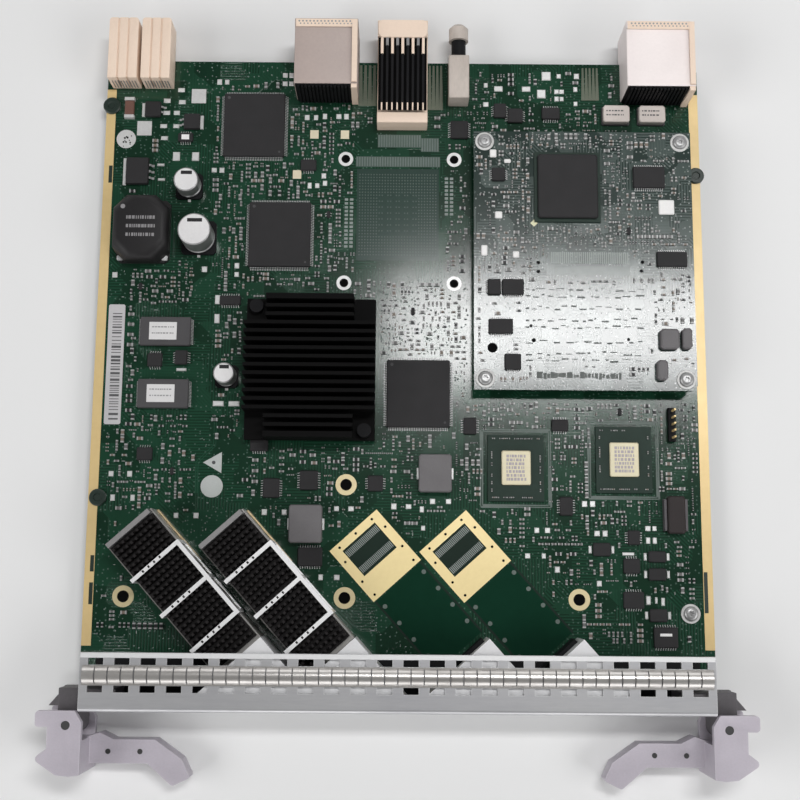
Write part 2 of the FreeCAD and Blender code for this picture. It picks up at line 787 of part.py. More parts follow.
def cage_cooler(number, pair, shift):
    cooler = new_body(f"cage_cooler_{number}")
    length = "(cage_length - cooler_front_gap)"
    side = "(cage_width / 2 - cooler_inset)"
    pad(cooler, rectangle(sketch_on(cooler), "0", f"-{side}", length, side), "cooler_height")
    rows = sketch_on(cooler, lift="cooler_height")
    first_row = "(-(cooler_rows - 1) * cooler_row_pitch / 2)"
    rectangle(rows, "cooler_lip", f"{first_row} - cooler_groove / 2", f"{length} + cut_margin",
              f"{first_row} + cooler_groove / 2")
    repeat(cooler, pocket(cooler, rows, "cooler_height - cooler_base"), "Y_Axis",
           "cooler_row_pitch * (cooler_rows - 1)", "cooler_rows")
    columns = sketch_on(cooler, lift="cooler_height")
    rectangle(columns, "cooler_lip", f"-{side} - cut_margin", "cooler_lip + cooler_groove",
              f"{side} + cut_margin")
    repeat(cooler, pocket(cooler, columns, "cooler_height - cooler_base"), "X_Axis",
           "cooler_column_pitch * (cooler_columns - 1)", "cooler_columns")
    return keep(angled(cooler, pair, shift, f"{TOP_Z} + {CAGE_HEIGHT}"), f"cage_cooler_{number}")


def cage_clip(number, pair, shift):
    crest = f"({CAGE_HEIGHT} + cooler_height)"
    flank = "((cage_width + clip_leg) / 2)"
    bars = []
    for bar in range(3):
        centre = f"(clip_first + {bar} * clip_pitch)"
        bars.append(block(f"clip_bar_{number}_{bar}", "clip_bar", "cage_width + 2 * clip_leg",
                          "clip_thick", centre, z=crest))
        for side, sign in (("left", ""), ("right", "-")):
            bars.append(block(f"clip_leg_{number}_{bar}_{side}", "clip_bar", "clip_leg",
                              f"{crest} - clip_foot + clip_thick", centre, f"{sign}{flank}", "clip_foot"))
    for side, sign in (("left", ""), ("right", "-")):
        bars.append(block(f"clip_rail_{number}_{side}", "2 * clip_pitch + clip_bar", "clip_leg",
                          "clip_bar", "clip_first + clip_pitch", f"{sign}{flank}", "clip_foot"))
    bars.append(block(f"clip_top_{number}", "2 * clip_pitch", "clip_bar", "clip_thick",
                      "clip_first + clip_pitch",
                      "(cage_width - clip_bar) / 2 + clip_leg", crest))
    return keep(angled(fused(f"cage_clip_{number}", bars), pair, shift), f"cage_clip_{number}")


def transceiver(number, pair, shift):
    case = block(f"module_case_{number}", "module_length", "module_width", "module_height",
                 "module_setback + module_length / 2", z=MODULE_LIFT)
    mouths = []
    for side, sign in (("left", ""), ("right", "-")):
        mouths.append(block(f"module_mouth_{number}_{side}", "module_port_depth", "module_port_side",
                            "module_port_side",
                            "module_setback + module_length - module_port_depth / 2",
                            f"{sign}module_port_pitch / 2",
                            f"{MODULE_LIFT} + (module_height - module_port_side) / 2"))
    hollow = cut(f"transceiver_{number}", case, together(f"module_mouths_{number}", mouths))
    return keep(angled(hollow, pair, shift), f"transceiver_{number}")


def module_socket(number, pair, shift):
    socket = block(f"socket_body_{number}", "socket_length", "socket_width", "socket_height",
                   "cage_wall + socket_length / 2", z="cage_wall")
    return angled(together(f"module_socket_{number}", [socket]), pair, shift)


def ground_pad(number, pair, shift):
    plate = block(f"pad_plate_{number}", "ground_pad_length", "ground_pad_width", "ground_pad_thick",
                  "ground_pad_length / 2")
    window = block(f"pad_window_{number}", "ground_window_length", "ground_window_width",
                   "ground_pad_thick",
                   "ground_window_start + ground_window_length / 2")
    return angled(cut(f"ground_pad_{number}", plate, window), pair, shift)


def port_blank(number, pair, shift):
    plug = block(f"blank_plug_{number}", "blank_length", "module_width", "module_height",
                 f"{PORT_WALL} + bezel_wall - blank_length / 2", z=MODULE_LIFT)
    lip = "(bezel_clearance - blank_gap)"
    foot = "(bezel_wall + blank_gap)"
    face = block(f"blank_face_{number}", "blank_face", f"module_width + 2 * {lip}",
                 f"{MODULE_LIFT} + module_height + {lip} - {foot}",
                 f"{PORT_WALL} + bezel_wall + blank_face / 2", z=foot)
    return angled(fused(f"port_blank_{number}", [plug, face]), pair, shift)


port_bezel("port_bezel_left", "port_pair_left_x")
port_bezel("port_bezel_right", "port_pair_right_x")
FITTED = ((1, "port_pair_left_x", "0"), (2, "port_pair_left_x", "port_pitch"))
UNFITTED = ((3, "port_pair_right_x", "0"), (4, "port_pair_right_x", "port_pitch"))
for site in FITTED:
    port_cage(*site)
    cage_cooler(*site)
    cage_clip(*site)
    transceiver(*site)
keep(together("module_sockets", [module_socket(*site) for site in FITTED]), "module_sockets")
keep(together("ground_pads", [ground_pad(*site) for site in UNFITTED]), "ground_pads")
keep(together("port_blanks", [port_blank(*site) for site in UNFITTED]), "port_blanks")


# Ejector levers: forked jaws over a bracket tongue, with a cranked handle. Built at the left-hand
# pivot, where inwards is +X; the right-hand set is its mirror image.
PIVOT_X = "(-panel_width / 2 - pivot_inset)"
PIVOT_Y = at_depth("(-pivot_forward)")
lever = new_body("lever_left", PIVOT_X, PIVOT_Y)
pad(lever, polygon(sketch_on(lever, lift="jaw_low"), [
    ("-jaw_reach", "jaw_rear"),
    ("-jaw_reach", "-jaw_notch_top"),
    ("-jaw_notch_side", "-jaw_notch_top"),
    ("-jaw_notch_side", "-jaw_notch_base"),
    ("-jaw_reach + hook_step", "-jaw_notch_base - hook_top"),
    ("-jaw_reach + hook_step", "-jaw_notch_base - hook_bottom"),
    ("-jaw_inner / 2", "-jaw_front + jaw_crown"),
    ("jaw_inner / 3", "-jaw_front"),
    ("jaw_inner", "-jaw_front + jaw_crown"),
    ("jaw_inner", "jaw_rear / 5"),
    ("jaw_inner * 0.54", "jaw_rear"),
]), "jaw_high - jaw_low")
pocket(lever, rectangle(sketch_on(lever, lift="jaw_low + jaw_plate"), "-jaw_reach - cut_margin",
                        "-web_front", "jaw_inner + cut_margin", "jaw_rear + cut_margin"),
       "jaw_high - jaw_low - 2 * jaw_plate", along_normal=True)
handle = [
    ("jaw_inner - handle_bite", "-web_front"),
    ("jaw_inner + handle_neck", "-web_front + handle_swell"),
    ("jaw_inner + handle_shoulder", "-arm_rear"),
    ("arm_bend", "-arm_rear"),
    ("arm_tip - arm_tip_half", "-arm_rear - arm_drop + arm_tip_half"),
    ("arm_tip", "-arm_rear - arm_drop - arm_tip_half"),
    ("arm_tip - 2 * arm_tip_half", "pivot_forward - lever_reach"),
    ("arm_bend - arm_bend_step", "-arm_front"),
    ("jaw_inner - handle_bite", "-arm_front"),
]
pad(lever, polygon(sketch_on(lever, lift="arm_low"), handle), "arm_high - arm_low")
pocket(lever, circle(sketch_on(lever), "0", "0", "pin_radius + pin_clearance"), "panel_height",
       along_normal=True)
hook_side = -1.2 * SIZES["jaw_notch_side"]
handle_side = 1.1 * SIZES["arm_bend"]


def upright(run):
    return abs(run.z) > SIZES["jaw_plate"] / 2 and abs(run.x) + abs(run.y) < 0.01


round_edges(lever, "jaw_round", lambda mid, run: upright(run) and mid.x < hook_side)
round_edges(lever, "arm_round", lambda mid, run: upright(run) and mid.x > handle_side)
keep(lever, "lever_left")

bracket = new_body("lever_bracket_left", PIVOT_X, PIVOT_Y, TOP_Z)
PANEL_INSIDE = "(pivot_forward + sheet_thick)"
TONGUE = "(pivot_inset - boss_gap)"
pad(bracket, polygon(sketch_on(bracket), [
    ("pivot_inset + bracket_foot", PANEL_INSIDE),
    ("pivot_inset + bracket_foot", "pivot_forward + bracket_depth"),
    (f"-{TONGUE}", "pivot_forward + bracket_depth"),
    (f"-{TONGUE}", "0"),
    (TONGUE, "0"),
    (TONGUE, PANEL_INSIDE),
]), "bracket_high")
pad(bracket, circle(sketch_on(bracket), "0", "0", TONGUE), "bracket_high")
pad(bracket, polygon(sketch_on(bracket), [
    ("0", "pivot_forward + ear_front"),
    ("0", "pivot_forward + bracket_depth"),
    (f"-{TONGUE} - ear_heel", "pivot_forward + bracket_depth"),
    ("-ear_reach + ear_taper", "pivot_forward + ear_front + ear_middle"),
    ("-ear_reach", "pivot_forward + ear_front"),
]), "ear_thick")
pocket(bracket, circle(sketch_on(bracket), "0", "0", "pin_radius"), "bracket_high", along_normal=True)
keep(bracket, "lever_bracket_left")
lever_pin = keep(post("lever_pin_left", "pin_radius", "jaw_high - jaw_low", PIVOT_X, PIVOT_Y, "jaw_low"),
                 "lever_pin_left")
for source in (lever, bracket, lever_pin):
    label = source.Label.replace("_left", "_right")
    keep(mirrored(label, source), label)


# Backplane connectors along the rear edge.
def power_connector(label, x):
    housing = new_body(label, x, at_depth("(board_depth + rear_overhang - power_length)"), TOP_Z)
    pad(housing, rectangle(sketch_on(housing), "-power_width / 2", "0", "power_width / 2",
                           "power_length"), "power_height")
    rear_half = SIZES["power_length"] / 2
    round_edges(housing, "power_round", lambda mid, run: upright(run) and mid.y > rear_half)
    first = "(-(power_groove_count - 1) * power_groove_pitch / 2)"
    grooves = sketch_on(housing, lift="power_height")
    rectangle(grooves, f"{first} - power_groove / 2", "-cut_margin", f"{first} + power_groove / 2",
              "power_length + cut_margin")
    repeat(housing, pocket(housing, grooves, "power_groove_depth"), "X_Axis",
           "(power_groove_count - 1) * power_groove_pitch", "power_groove_count")
    notch = sketch_on(housing, "XZ_Plane")
    rectangle(notch, f"{first} - power_groove / 2", "power_notch_floor", f"{first} + power_groove / 2",
              "power_height + cut_margin")
    repeat(housing, pocket(housing, notch, "power_groove_depth"), "X_Axis",
           "(power_groove_count - 1) * power_groove_pitch", "power_groove_count")
    sockets = sketch_on(housing, "XZ_Plane", "-power_length")
    for sign in ("-", ""):
        rectangle(sockets, f"{sign}power_width / 4 - power_socket_half", "power_socket_floor",
                  f"{sign}power_width / 4 + power_socket_half", "power_height - power_socket_roof")
    pocket(housing, sockets, "power_length / 2", along_normal=True)
    return keep(housing, label)


POWER_X = "(power_inset + power_width / 2 - board_width / 2)"
power_connector("power_connector_outer", POWER_X)
power_connector("power_connector_inner", f"({POWER_X} + power_width + power_gap)")


def signal_connector(label, x, width):
    housing = new_body(label, x, FRONT_Y, TOP_Z)
    rear = "(board_depth + rear_overhang - signal_short)"
    wrap = "(board_depth + signal_edge_gap)"
    pad(housing, polygon(sketch_on(housing, "YZ_Plane", f"-{width} / 2"), [
        ("signal_front_depth", "0"),
        (wrap, "0"),
        (wrap, "-board_thick"),
        (rear, "-board_thick"),
        (rear, "signal_height + signal_lip_rise"),
        (f"{rear} - signal_lip", "signal_height + signal_lip_rise"),
        (f"{rear} - signal_lip", "signal_height"),
        ("signal_front_depth", "signal_height"),
    ]), width)
    cavity = sketch_on(housing, "XZ_Plane", f"-{rear}")
    rectangle(cavity, f"signal_wall - {width} / 2", "signal_wall - board_thick",
              f"{width} / 2 - signal_wall", "signal_height + signal_lip_rise - signal_wall")
    pocket(housing, cavity, "signal_cavity", along_normal=True)
    return keep(housing, label)


signal_connector("signal_connector_left", "signal_left_x", "signal_left_width")
signal_connector("signal_connector_right",
                 "(board_width / 2 - signal_right_inset - signal_right_width / 2)",
                 "signal_right_width")

middle = new_body("middle_connector", "0", at_depth("(board_depth + rear_overhang - middle_length)"),
                  TOP_Z)
pad(middle, polygon(sketch_on(middle, "YZ_Plane", "-middle_width / 2"), [
    ("0", "0"),
    ("middle_length", "0"),
    ("middle_length", "middle_height"),
    ("middle_length - middle_rear_block", "middle_height"),
    ("middle_length - middle_rear_block", "middle_floor"),
    ("middle_front_wall", "middle_floor"),
    ("middle_front_wall", "middle_height - middle_front_drop"),
    ("0", "middle_height - middle_front_drop"),
]), "middle_width")
blade_pitch = "(middle_width / (blade_count + 1))"
teeth = sketch_on(middle, lift="middle_height")
first_tooth = "(-(blade_count - 1) / 2)"
rectangle(teeth, f"{first_tooth} * {blade_pitch} - blade_thick / 2",
          "middle_length - middle_rear_block - cut_margin",
          f"{first_tooth} * {blade_pitch} + blade_thick / 2", "middle_length - middle_rear_block / 3")
repeat(middle, pocket(middle, teeth, "middle_height - middle_floor"), "X_Axis",
       f"(blade_count - 1) * {blade_pitch}", "blade_count")
keep(middle, "middle_connector")

BLADE_LENGTH = "(middle_length - middle_front_wall - middle_rear_block - blade_front_gap)"
blades = []
for number in range(SIZES["blade_count"]):
    blades.append(block(f"blade_{number}", "blade_thick", BLADE_LENGTH, "blade_height",
                        f"({number} - (blade_count - 1) / 2) * {blade_pitch}",
                        at_depth(f"(board_depth + rear_overhang - middle_rear_block - {BLADE_LENGTH} / 2)"),
                        f"{TOP_Z} + middle_floor"))
keep(together("middle_blades", blades), "middle_blades")

GUIDE_REAR = "(guide_front_depth + guide_length)"
GUIDE_AXIS_Z = f"({TOP_Z} + guide_height / 2)"
on_board("guide_block", "guide_width", "guide_length", "guide_height", "guide_x",
         "(guide_front_depth + guide_length / 2)")
NECK_LENGTH = f"(board_depth + rear_overhang - {GUIDE_REAR} - guide_head_length)"
neck = place(post("guide_neck_rod", "guide_neck", NECK_LENGTH), "guide_x", at_depth(GUIDE_REAR),
             GUIDE_AXIS_Z, "-90", (1, 0, 0))
head = place(post("guide_head_rod", "guide_head", "guide_head_length - guide_taper"), "guide_x",
             at_depth(f"({GUIDE_REAR} + {NECK_LENGTH})"), GUIDE_AXIS_Z, "-90", (1, 0, 0))
tip = doc.addObject("Part::Cone", "guide_tip")
bind(tip, Radius1="guide_head", Radius2="guide_head - guide_taper", Height="guide_taper")
place(tip, "guide_x", at_depth("(board_depth + rear_overhang - guide_taper)"), GUIDE_AXIS_Z, "-90",
      (1, 0, 0))
keep(fused("guide_pin", [neck, head, tip]), "guide_pin")

# Gull-wing packages.
quads = []
for seat in ("rear", "middle", "front"):
    quads.append(block(f"quad_{seat}", "quad_width", "quad_length", "quad_height", f"quad_{seat}_x",
                       at_depth(f"quad_{seat}_depth"), TOP_Z))
keep(together("quad_packages", quads), "quad_packages")

# Cooled processor: package, finned cooler on top of it and the spring pins at two of its corners.
on_board("processor", "processor_side", "processor_side", "processor_height", "processor_x",
         "processor_depth")
cooler = new_body("processor_cooler", "processor_x", at_depth("processor_depth"),
                  f"{TOP_Z} + processor_height")
pad(cooler, rectangle(sketch_on(cooler), "-sink_width / 2", "-sink_length / 2", "sink_width / 2",
                      "sink_length / 2"), "sink_base")
wide, slim = "sink_width / 2", "sink_neck_width / 2"
long, short = "sink_length / 2", "sink_body_length / 2"
pad(cooler, polygon(sketch_on(cooler), [
    (f"-{slim}", f"-{long}"),
    (slim, f"-{long}"),
    (slim, f"-{short}"),
    (wide, f"-{short}"),
    (wide, short),
    (slim, short),
    (slim, long),
    (f"-{slim}", long),
    (f"-{slim}", short),
    (f"-{wide}", short),
    (f"-{wide}", f"-{short}"),
    (f"-{slim}", f"-{short}"),
]), "sink_height")
gaps = sketch_on(cooler, lift="sink_height")
FIRST_GAP = "(-(fin_count - 1) * fin_pitch / 2)"
rectangle(gaps, f"-{wide} - cut_margin", f"{FIRST_GAP} - fin_gap / 2", f"{wide} + cut_margin",
          f"{FIRST_GAP} + fin_gap / 2")
repeat(cooler, pocket(cooler, gaps, "sink_height - sink_base"), "Y_Axis", "(fin_count - 1) * fin_pitch",
       "fin_count")
corners = sketch_on(cooler)
for sx, sy in (("", "-"), ("-", "")):
    circle(corners, f"{sx}sink_corner_x", f"{sy}sink_corner_y", "sink_corner_hole")
pocket(cooler, corners, "sink_base", along_normal=True)
keep(cooler, "processor_cooler")
pushpins = []
for number, (sx, sy) in enumerate((("+", "-"), ("-", "+"))):
    pin_x = f"(processor_x {sx} sink_corner_x)"
    pin_y = at_depth(f"(processor_depth {sy} sink_corner_y)")
    shank = prism(f"pushpin_shank_{number}", SHANK_SIDES, "sink_corner_hole - pushpin_clearance",
                  "processor_height + sink_base",
                 pin_x, pin_y, TOP_Z)
    cap = post(f"pushpin_cap_{number}", "pushpin_head", "pushpin_rise", pin_x, pin_y,
               f"{TOP_Z} + processor_height + sink_base")
    pushpins.append(fused(f"pushpin_{number}", [shank, cap]))
keep(together("cooler_pushpins", pushpins), "cooler_pushpins")

# Gold-lidded optics chips.
chips, lids = [], []
for side in ("left", "right"):
    x, y = f"optics_{side}_x", at_depth(f"optics_{side}_depth")
    chips.append(block(f"optics_chip_{side}", "optics_width", "optics_length", "optics_height", x, y,
                       TOP_Z))
    lids.append(block(f"optics_lid_{side}", "optics_lid_width", "optics_lid_length", "optics_lid_height",
                      x, y,
                      f"{TOP_Z} + optics_height"))
keep(together("optics_chips", chips), "optics_chips")
keep(together("optics_lids", lids), "optics_lids")

# Power section in the rear left-hand corner.
choke = new_body("power_choke", "choke_x", at_depth("choke_depth"), TOP_Z)
wide, long = "choke_width / 2", "choke_length / 2"
pad(choke, polygon(sketch_on(choke), [
    (f"-{wide} + choke_corner", f"-{long}"),
    (f"{wide} - choke_corner", f"-{long}"),
    (wide, f"-{long} + choke_corner"),
    (wide, f"{long} - choke_corner"),
    (f"{wide} - choke_corner", long),
    (f"-{wide} + choke_corner", long),
    (f"-{wide}", f"{long} - choke_corner"),
    (f"-{wide}", f"-{long} + choke_corner"),
]), "choke_height")
keep(choke, "power_choke")
bases, cans = [], []
for size in ("small", "large", "front"):
    x, y = f"can_{size}_x", at_depth(f"can_{size}_depth")
    base_side = f"2 * (can_{size}_radius + can_base_margin)"
    bases.append(block(f"can_base_{size}", base_side, base_side, "can_base", x, y, TOP_Z))
    cans.append(post(f"can_{size}", f"can_{size}_radius", f"can_{size}_height - can_base", x, y,
                     f"{TOP_Z} + can_base"))
keep(together("capacitor_bases", bases), "capacitor_bases")
keep(together("capacitor_cans", cans), "capacitor_cans")
drivers = [block("power_transistor", "transistor_width", "transistor_length", "transistor_height",
                 "transistor_x",
                 at_depth("transistor_depth"), TOP_Z)]
on_board("transistor_tab", "transistor_tab", "transistor_length", "transistor_tab_thick",
         "(transistor_x - transistor_width / 2 - transistor_tab / 2)", "transistor_depth")
for seat in ("rear", "front"):
    drivers.append(block(f"driver_{seat}", "driver_side", "driver_side", "driver_height",
                         f"driver_{seat}_x",
                         at_depth(f"driver_{seat}_depth"), TOP_Z))
keep(together("power_drivers", drivers), "power_drivers")

# Shielded inductors, oscillators, memories and the parts by the right-hand edge.
shields = []
for side in ("left", "right"):
    shields.append(block(f"shielded_{side}", "shielded_width", "shielded_length", "shielded_height",
                         f"shielded_{side}_x",
                         at_depth(f"shielded_{side}_depth"), TOP_Z))
keep(together("shielded_inductors", shields), "shielded_inductors")
clocks = []
for side in ("left", "right"):
    clocks.append(block(f"oscillator_{side}", "oscillator_width", "oscillator_length",
                        "oscillator_height",
                        f"oscillator_{side}_x", at_depth("oscillator_depth"), TOP_Z))
keep(together("oscillators", clocks), "oscillators")
memories = []
for seat in ("rear", "front"):
    memories.append(block(f"memory_{seat}", "memory_width", "memory_length", "memory_height", "memory_x",
                          at_depth(f"memory_{seat}_depth"), TOP_Z))
keep(together("memory_packages", memories), "memory_packages")
on_board("isolator", "isolator_width", "isolator_length", "isolator_height", "memory_x", "isolator_depth")
on_board("edge_filter", "filter_width", "filter_length", "filter_height",
         "(board_width / 2 - filter_inset)", "filter_depth")
HEADER_X = "(board_width / 2 - header_inset)"
on_board("pin_header", "header_width", "header_length", "header_height", HEADER_X, "header_depth")
pins = []
for number in range(SIZES["header_pins"]):
    pins.append(block(f"header_pin_{number}", "header_pin", "header_pin", "header_pin_rise", HEADER_X,
                      at_depth(f"(header_depth + ({number} - (header_pins - 1) / 2) * header_pin_pitch)"),
                      f"{TOP_Z} + header_height"))
keep(together("header_pins", pins), "header_pins")

# Raised daughter board on four standoffs and two stacking connectors.
MEZZANINE_Y = at_depth("mezzanine_depth")
mezzanine = new_body("mezzanine_board", "mezzanine_x", MEZZANINE_Y, f"{TOP_Z} + mezzanine_lift")
wide, long = "mezzanine_width / 2", "mezzanine_length / 2"
pad(mezzanine, polygon(sketch_on(mezzanine), [
    (f"-{wide}", f"-{long}"),
    (f"{wide} - mezzanine_corner / 4", f"-{long}"),
    (wide, f"-{long} + mezzanine_corner / 4"),
    (wide, long),
    (f"-{wide}", long),
]), "mezzanine_thick")
SCREW_PLACES = []
for sx in ("-", ""):
    for sy in ("-", ""):
        SCREW_PLACES.append((f"{sx}({wide} - mezzanine_hole_inset)",
                             f"{sy}({long} - mezzanine_hole_inset)"))
holes = sketch_on(mezzanine)
for x, y in SCREW_PLACES:
    circle(holes, x, y, "mezzanine_hole")
pocket(mezzanine, holes, "mezzanine_thick", along_normal=True)
keep(mezzanine, "mezzanine_board")


def board_screw(name, x, y, seat, grip):
    shank = prism(f"{name}_shank", SHANK_SIDES, "screw_radius", grip, x, y, f"{seat} - ({grip})")
    crown = post(f"{name}_crown", "screw_head", "screw_head_height", x, y, seat)
    return fused(name, [shank, crown])


standoffs, screws = [], []
for number, (x, y) in enumerate(SCREW_PLACES):
    x, y = f"(mezzanine_x + {x})", f"({MEZZANINE_Y} + {y})"
    standoffs.append(prism(f"standoff_{number}", 6, "standoff_radius", "mezzanine_lift", x, y, TOP_Z))
    screws.append(board_screw(f"mezzanine_screw_{number}", x, y, f"({TOP_Z} + {MEZZANINE_TOP})",
                              "mezzanine_thick"))
keep(together("mezzanine_standoffs", standoffs), "mezzanine_standoffs")
screws.append(board_screw("edge_screw", "(board_width / 2 - board_screw_inset)",
                          at_depth("board_screw_depth"), TOP_Z, "board_thick"))
keep(together("board_screws", screws), "board_screws")
sockets, plugs = [], []
for name, offset in (("rear", "stack_offset"), ("front", "(stack_offset - stack_second)")):
    y = f"({MEZZANINE_Y} + {offset})"
    sockets.append(block(f"stack_socket_{name}", "stack_width", "stack_length",
                         "mezzanine_lift - stack_plug", "mezzanine_x", y, TOP_Z))
    plugs.append(block(f"stack_plug_{name}", "stack_width", "stack_length", "stack_plug", "mezzanine_x",
                       y,
                       f"{TOP_Z} + mezzanine_lift - stack_plug"))
keep(together("stacking_sockets", sockets), "stacking_sockets")
keep(together("stacking_plugs", plugs), "stacking_plugs")
CORE_X = "(mezzanine_x + mezzanine_processor_x)"
CORE_Y = f"({MEZZANINE_Y} + mezzanine_processor_depth)"
keep(block("core_substrate", "mezzanine_processor_width", "mezzanine_processor_length",
           "mezzanine_processor_base",
           CORE_X, CORE_Y, f"{TOP_Z} + {MEZZANINE_TOP}"), "core_substrate")
keep(block("core_cap", "mezzanine_processor_width - 2 * mezzanine_processor_rim",
           "mezzanine_processor_length - 2 * mezzanine_processor_rim", "mezzanine_processor_cap",
           CORE_X, CORE_Y, f"{TOP_Z} + {MEZZANINE_TOP} + mezzanine_processor_base"), "core_cap")
packages = []
for number, (x, y, width, length) in enumerate(MEZZANINE_CHIPS):
    packages.append(block(f"mezzanine_chip_{number}", f"{width} * mezzanine_width",
                          f"{length} * mezzanine_length",
                          "mezzanine_chip_height", f"(mezzanine_x + {x} * mezzanine_width)",
                          f"({MEZZANINE_Y} + {y} * mezzanine_length)", f"{TOP_Z} + {MEZZANINE_TOP}"))
keep(together("mezzanine_chips", packages), "mezzanine_chips")

doc.recompute()
broken = []
for thing in doc.Objects:
    if "Invalid" in thing.State or "Error" in thing.State:
        broken.append(thing.Label)
for piece in pieces:
    if piece.Shape.isNull() or not piece.Shape.isValid():
        broken.append(piece.Label + " shape")
if broken:
    raise RuntimeError("not sound: " + ", ".join(broken))
os.makedirs("parts", exist_ok=True)
for piece in pieces:
    piece.Shape.exportStep(f"parts/{piece.Label}.step")
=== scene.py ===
import math
import random

import bmesh
import bpy
from mathutils import Matrix, Vector


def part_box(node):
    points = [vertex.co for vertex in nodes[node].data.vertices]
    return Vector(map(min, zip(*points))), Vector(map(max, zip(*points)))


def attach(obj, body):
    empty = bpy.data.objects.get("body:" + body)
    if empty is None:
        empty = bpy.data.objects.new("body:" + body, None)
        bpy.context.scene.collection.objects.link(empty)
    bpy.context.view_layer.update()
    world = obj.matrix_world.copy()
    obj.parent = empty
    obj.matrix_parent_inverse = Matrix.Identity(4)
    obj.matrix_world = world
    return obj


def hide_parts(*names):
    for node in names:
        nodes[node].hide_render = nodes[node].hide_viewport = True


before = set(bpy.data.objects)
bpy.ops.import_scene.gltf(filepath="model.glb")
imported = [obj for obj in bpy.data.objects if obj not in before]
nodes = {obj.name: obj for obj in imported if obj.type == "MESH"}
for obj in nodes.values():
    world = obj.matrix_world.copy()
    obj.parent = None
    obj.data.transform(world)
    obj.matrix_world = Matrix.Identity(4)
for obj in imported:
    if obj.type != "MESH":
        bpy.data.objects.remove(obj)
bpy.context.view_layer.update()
MM = 0.001
rng = random.Random(48)


# Places. Lengths are in millimetres until a piece is made; depth runs back from the panel's front face.
def span(node):
    low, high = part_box(node)
    return low / MM, high / MM


FRONT = span("front_panel")[0].y
BOARD_TOP = span("main_board")[1].z
BOARD_UNDER = span("main_board")[0].z
DAUGHTER_TOP = span("mezzanine_board")[1].z
PORT_TURN = math.radians(-48)
UPRIGHT = math.pi / 2
INK_THICK, COPPER_THICK = 0.02, 0.03


def at(depth):
    return FRONT + depth


def solids(node):
    """Boxes of the separate solids in one CAD node, from rear left to front right."""
    mesh = nodes[node].data
    keys = [tuple(round(c / MM, 3) for c in vertex.co) for vertex in mesh.vertices]
    owner = {key: key for key in keys}

    def root(key):
        while owner[key] != key:
            owner[key] = owner[owner[key]]
            key = owner[key]
        return key

    for edge in mesh.edges:
        first, second = (root(keys[k]) for k in edge.vertices)
        owner[first] = second
    groups = {}
    for key in sorted(set(keys)):
        groups.setdefault(root(key), []).append(key)
    boxes = []
    for members in groups.values():
        boxes.append((Vector(map(min, zip(*members))), Vector(map(max, zip(*members)))))
    return sorted(boxes, key=lambda box: (-round(box[0].y), box[0].x))


def middle_and_size(low, high):
    return (low + high) / 2, high - low


def parts_of(node):
    """Low corner, high corner, middle and size of each solid in a CAD node."""
    return [(low, high, *middle_and_size(low, high)) for low, high in solids(node)]


def spread(count, pitch):
    """Evenly spaced places about zero."""
    return [(k - (count - 1) / 2) * pitch for k in range(count)]


class Ground:
    """Map of a board's free places, in half-millimetre cells."""

    CELL = 0.5

    def __init__(self, left, right, low, high):
        self.limits = (left, right, low, high)
        self.taken = set()

    def cells(self, x, y, width, length):
        columns = range(math.floor((x - width / 2) / self.CELL), math.floor((x + width / 2) / self.CELL) + 1)
        rows = range(math.floor((y - length / 2) / self.CELL), math.floor((y + length / 2) / self.CELL) + 1)
        return ((column, row) for column in columns for row in rows)

    def reserve(self, x, y, width, length):
        self.taken.update(self.cells(x, y, width, length))

    def free(self, x, y, width=0.1, length=0.1):
        left, right, low, high = self.limits
        if not (left < x < right and low < y < high):
            return False
        return self.taken.isdisjoint(self.cells(x, y, width, length))


# Shapes.
class Heap:
    """Many small closed shapes that become one piece."""

    def __init__(self):
        self.points = []
        self.faces = []

    def loft(self, rings):
        count = len(rings[0])
        first = len(self.points)
        for ring in rings:
            self.points += ring
        last = len(self.points) - count
        for start in range(first, last, count):
            above = start + count
            for k in range(count):
                following = (k + 1) % count
                self.faces.append((start + k, start + following, above + following, above + k))
        self.faces.append(tuple(range(first + count - 1, first - 1, -1)))
        self.faces.append(tuple(range(last, last + count)))


def heaps(count):
    return [Heap() for part in range(count)]


def outline(x, y, width, length, turn=0.0, cut=0.0):
    """Rectangle, or one with cut corners, anticlockwise round x, y."""
    a, b = width / 2, length / 2
    flat = [(a, -b), (a, b), (-a, b), (-a, -b)]
    if cut:
        flat = [(a - cut, -b), (a, cut - b), (a, b - cut), (a - cut, b),
                (cut - a, b), (-a, b - cut), (-a, cut - b), (cut - a, -b)]
    c, s = math.cos(turn), math.sin(turn)
    return [(x + c * u - s * v, y + s * u + c * v) for u, v in flat]


def circle(x, y, radius, sides=20, lobes=0, swell=0.0):
    ring = []
    for k in range(sides):
        angle = math.tau * k / sides
        reach = radius + swell * math.cos(lobes * angle)
        ring.append((x + reach * math.cos(angle), y + reach * math.sin(angle)))
    return ring


def raised(flat, z):
    return [(x, y, z) for x, y in flat]


def brick(heap, x, y, z, width, length, height, turn=0.0, draft=0.0, cut=0.0):
    top = outline(x, y, width - 2 * draft, length - 2 * draft, turn, cut)
    heap.loft([raised(outline(x, y, width, length, turn, cut), z), raised(top, z + height)])


PARTING_LOW, PARTING_HIGH = 0.42, 0.5


def moulded(heap, x, y, z, width, length, height, cut=0.35, draft=0.2, bevel=0.15):
    """Moulded body: widest at its parting line, with soft top edges."""
    steps = ((draft, 0.0), (0.0, PARTING_LOW), (0.0, PARTING_HIGH), (draft * 0.8, 1.0 - bevel / height),
             (draft + bevel, 1.0))
    rings = []
    for inset, share in steps:
        flat = outline(x, y, width - 2 * inset, length - 2 * inset, 0.0, cut)
        rings.append(raised(flat, z + share * height))
    heap.loft(rings)


def turned(heap, x, y, profile, sides=28):
    heap.loft([raised(circle(x, y, radius, sides), z) for radius, z in profile])


def disc(heap, x, y, z, radius, height=COPPER_THICK, sides=8):
    turned(heap, x, y, ((radius, z), (radius, z + height)), sides)


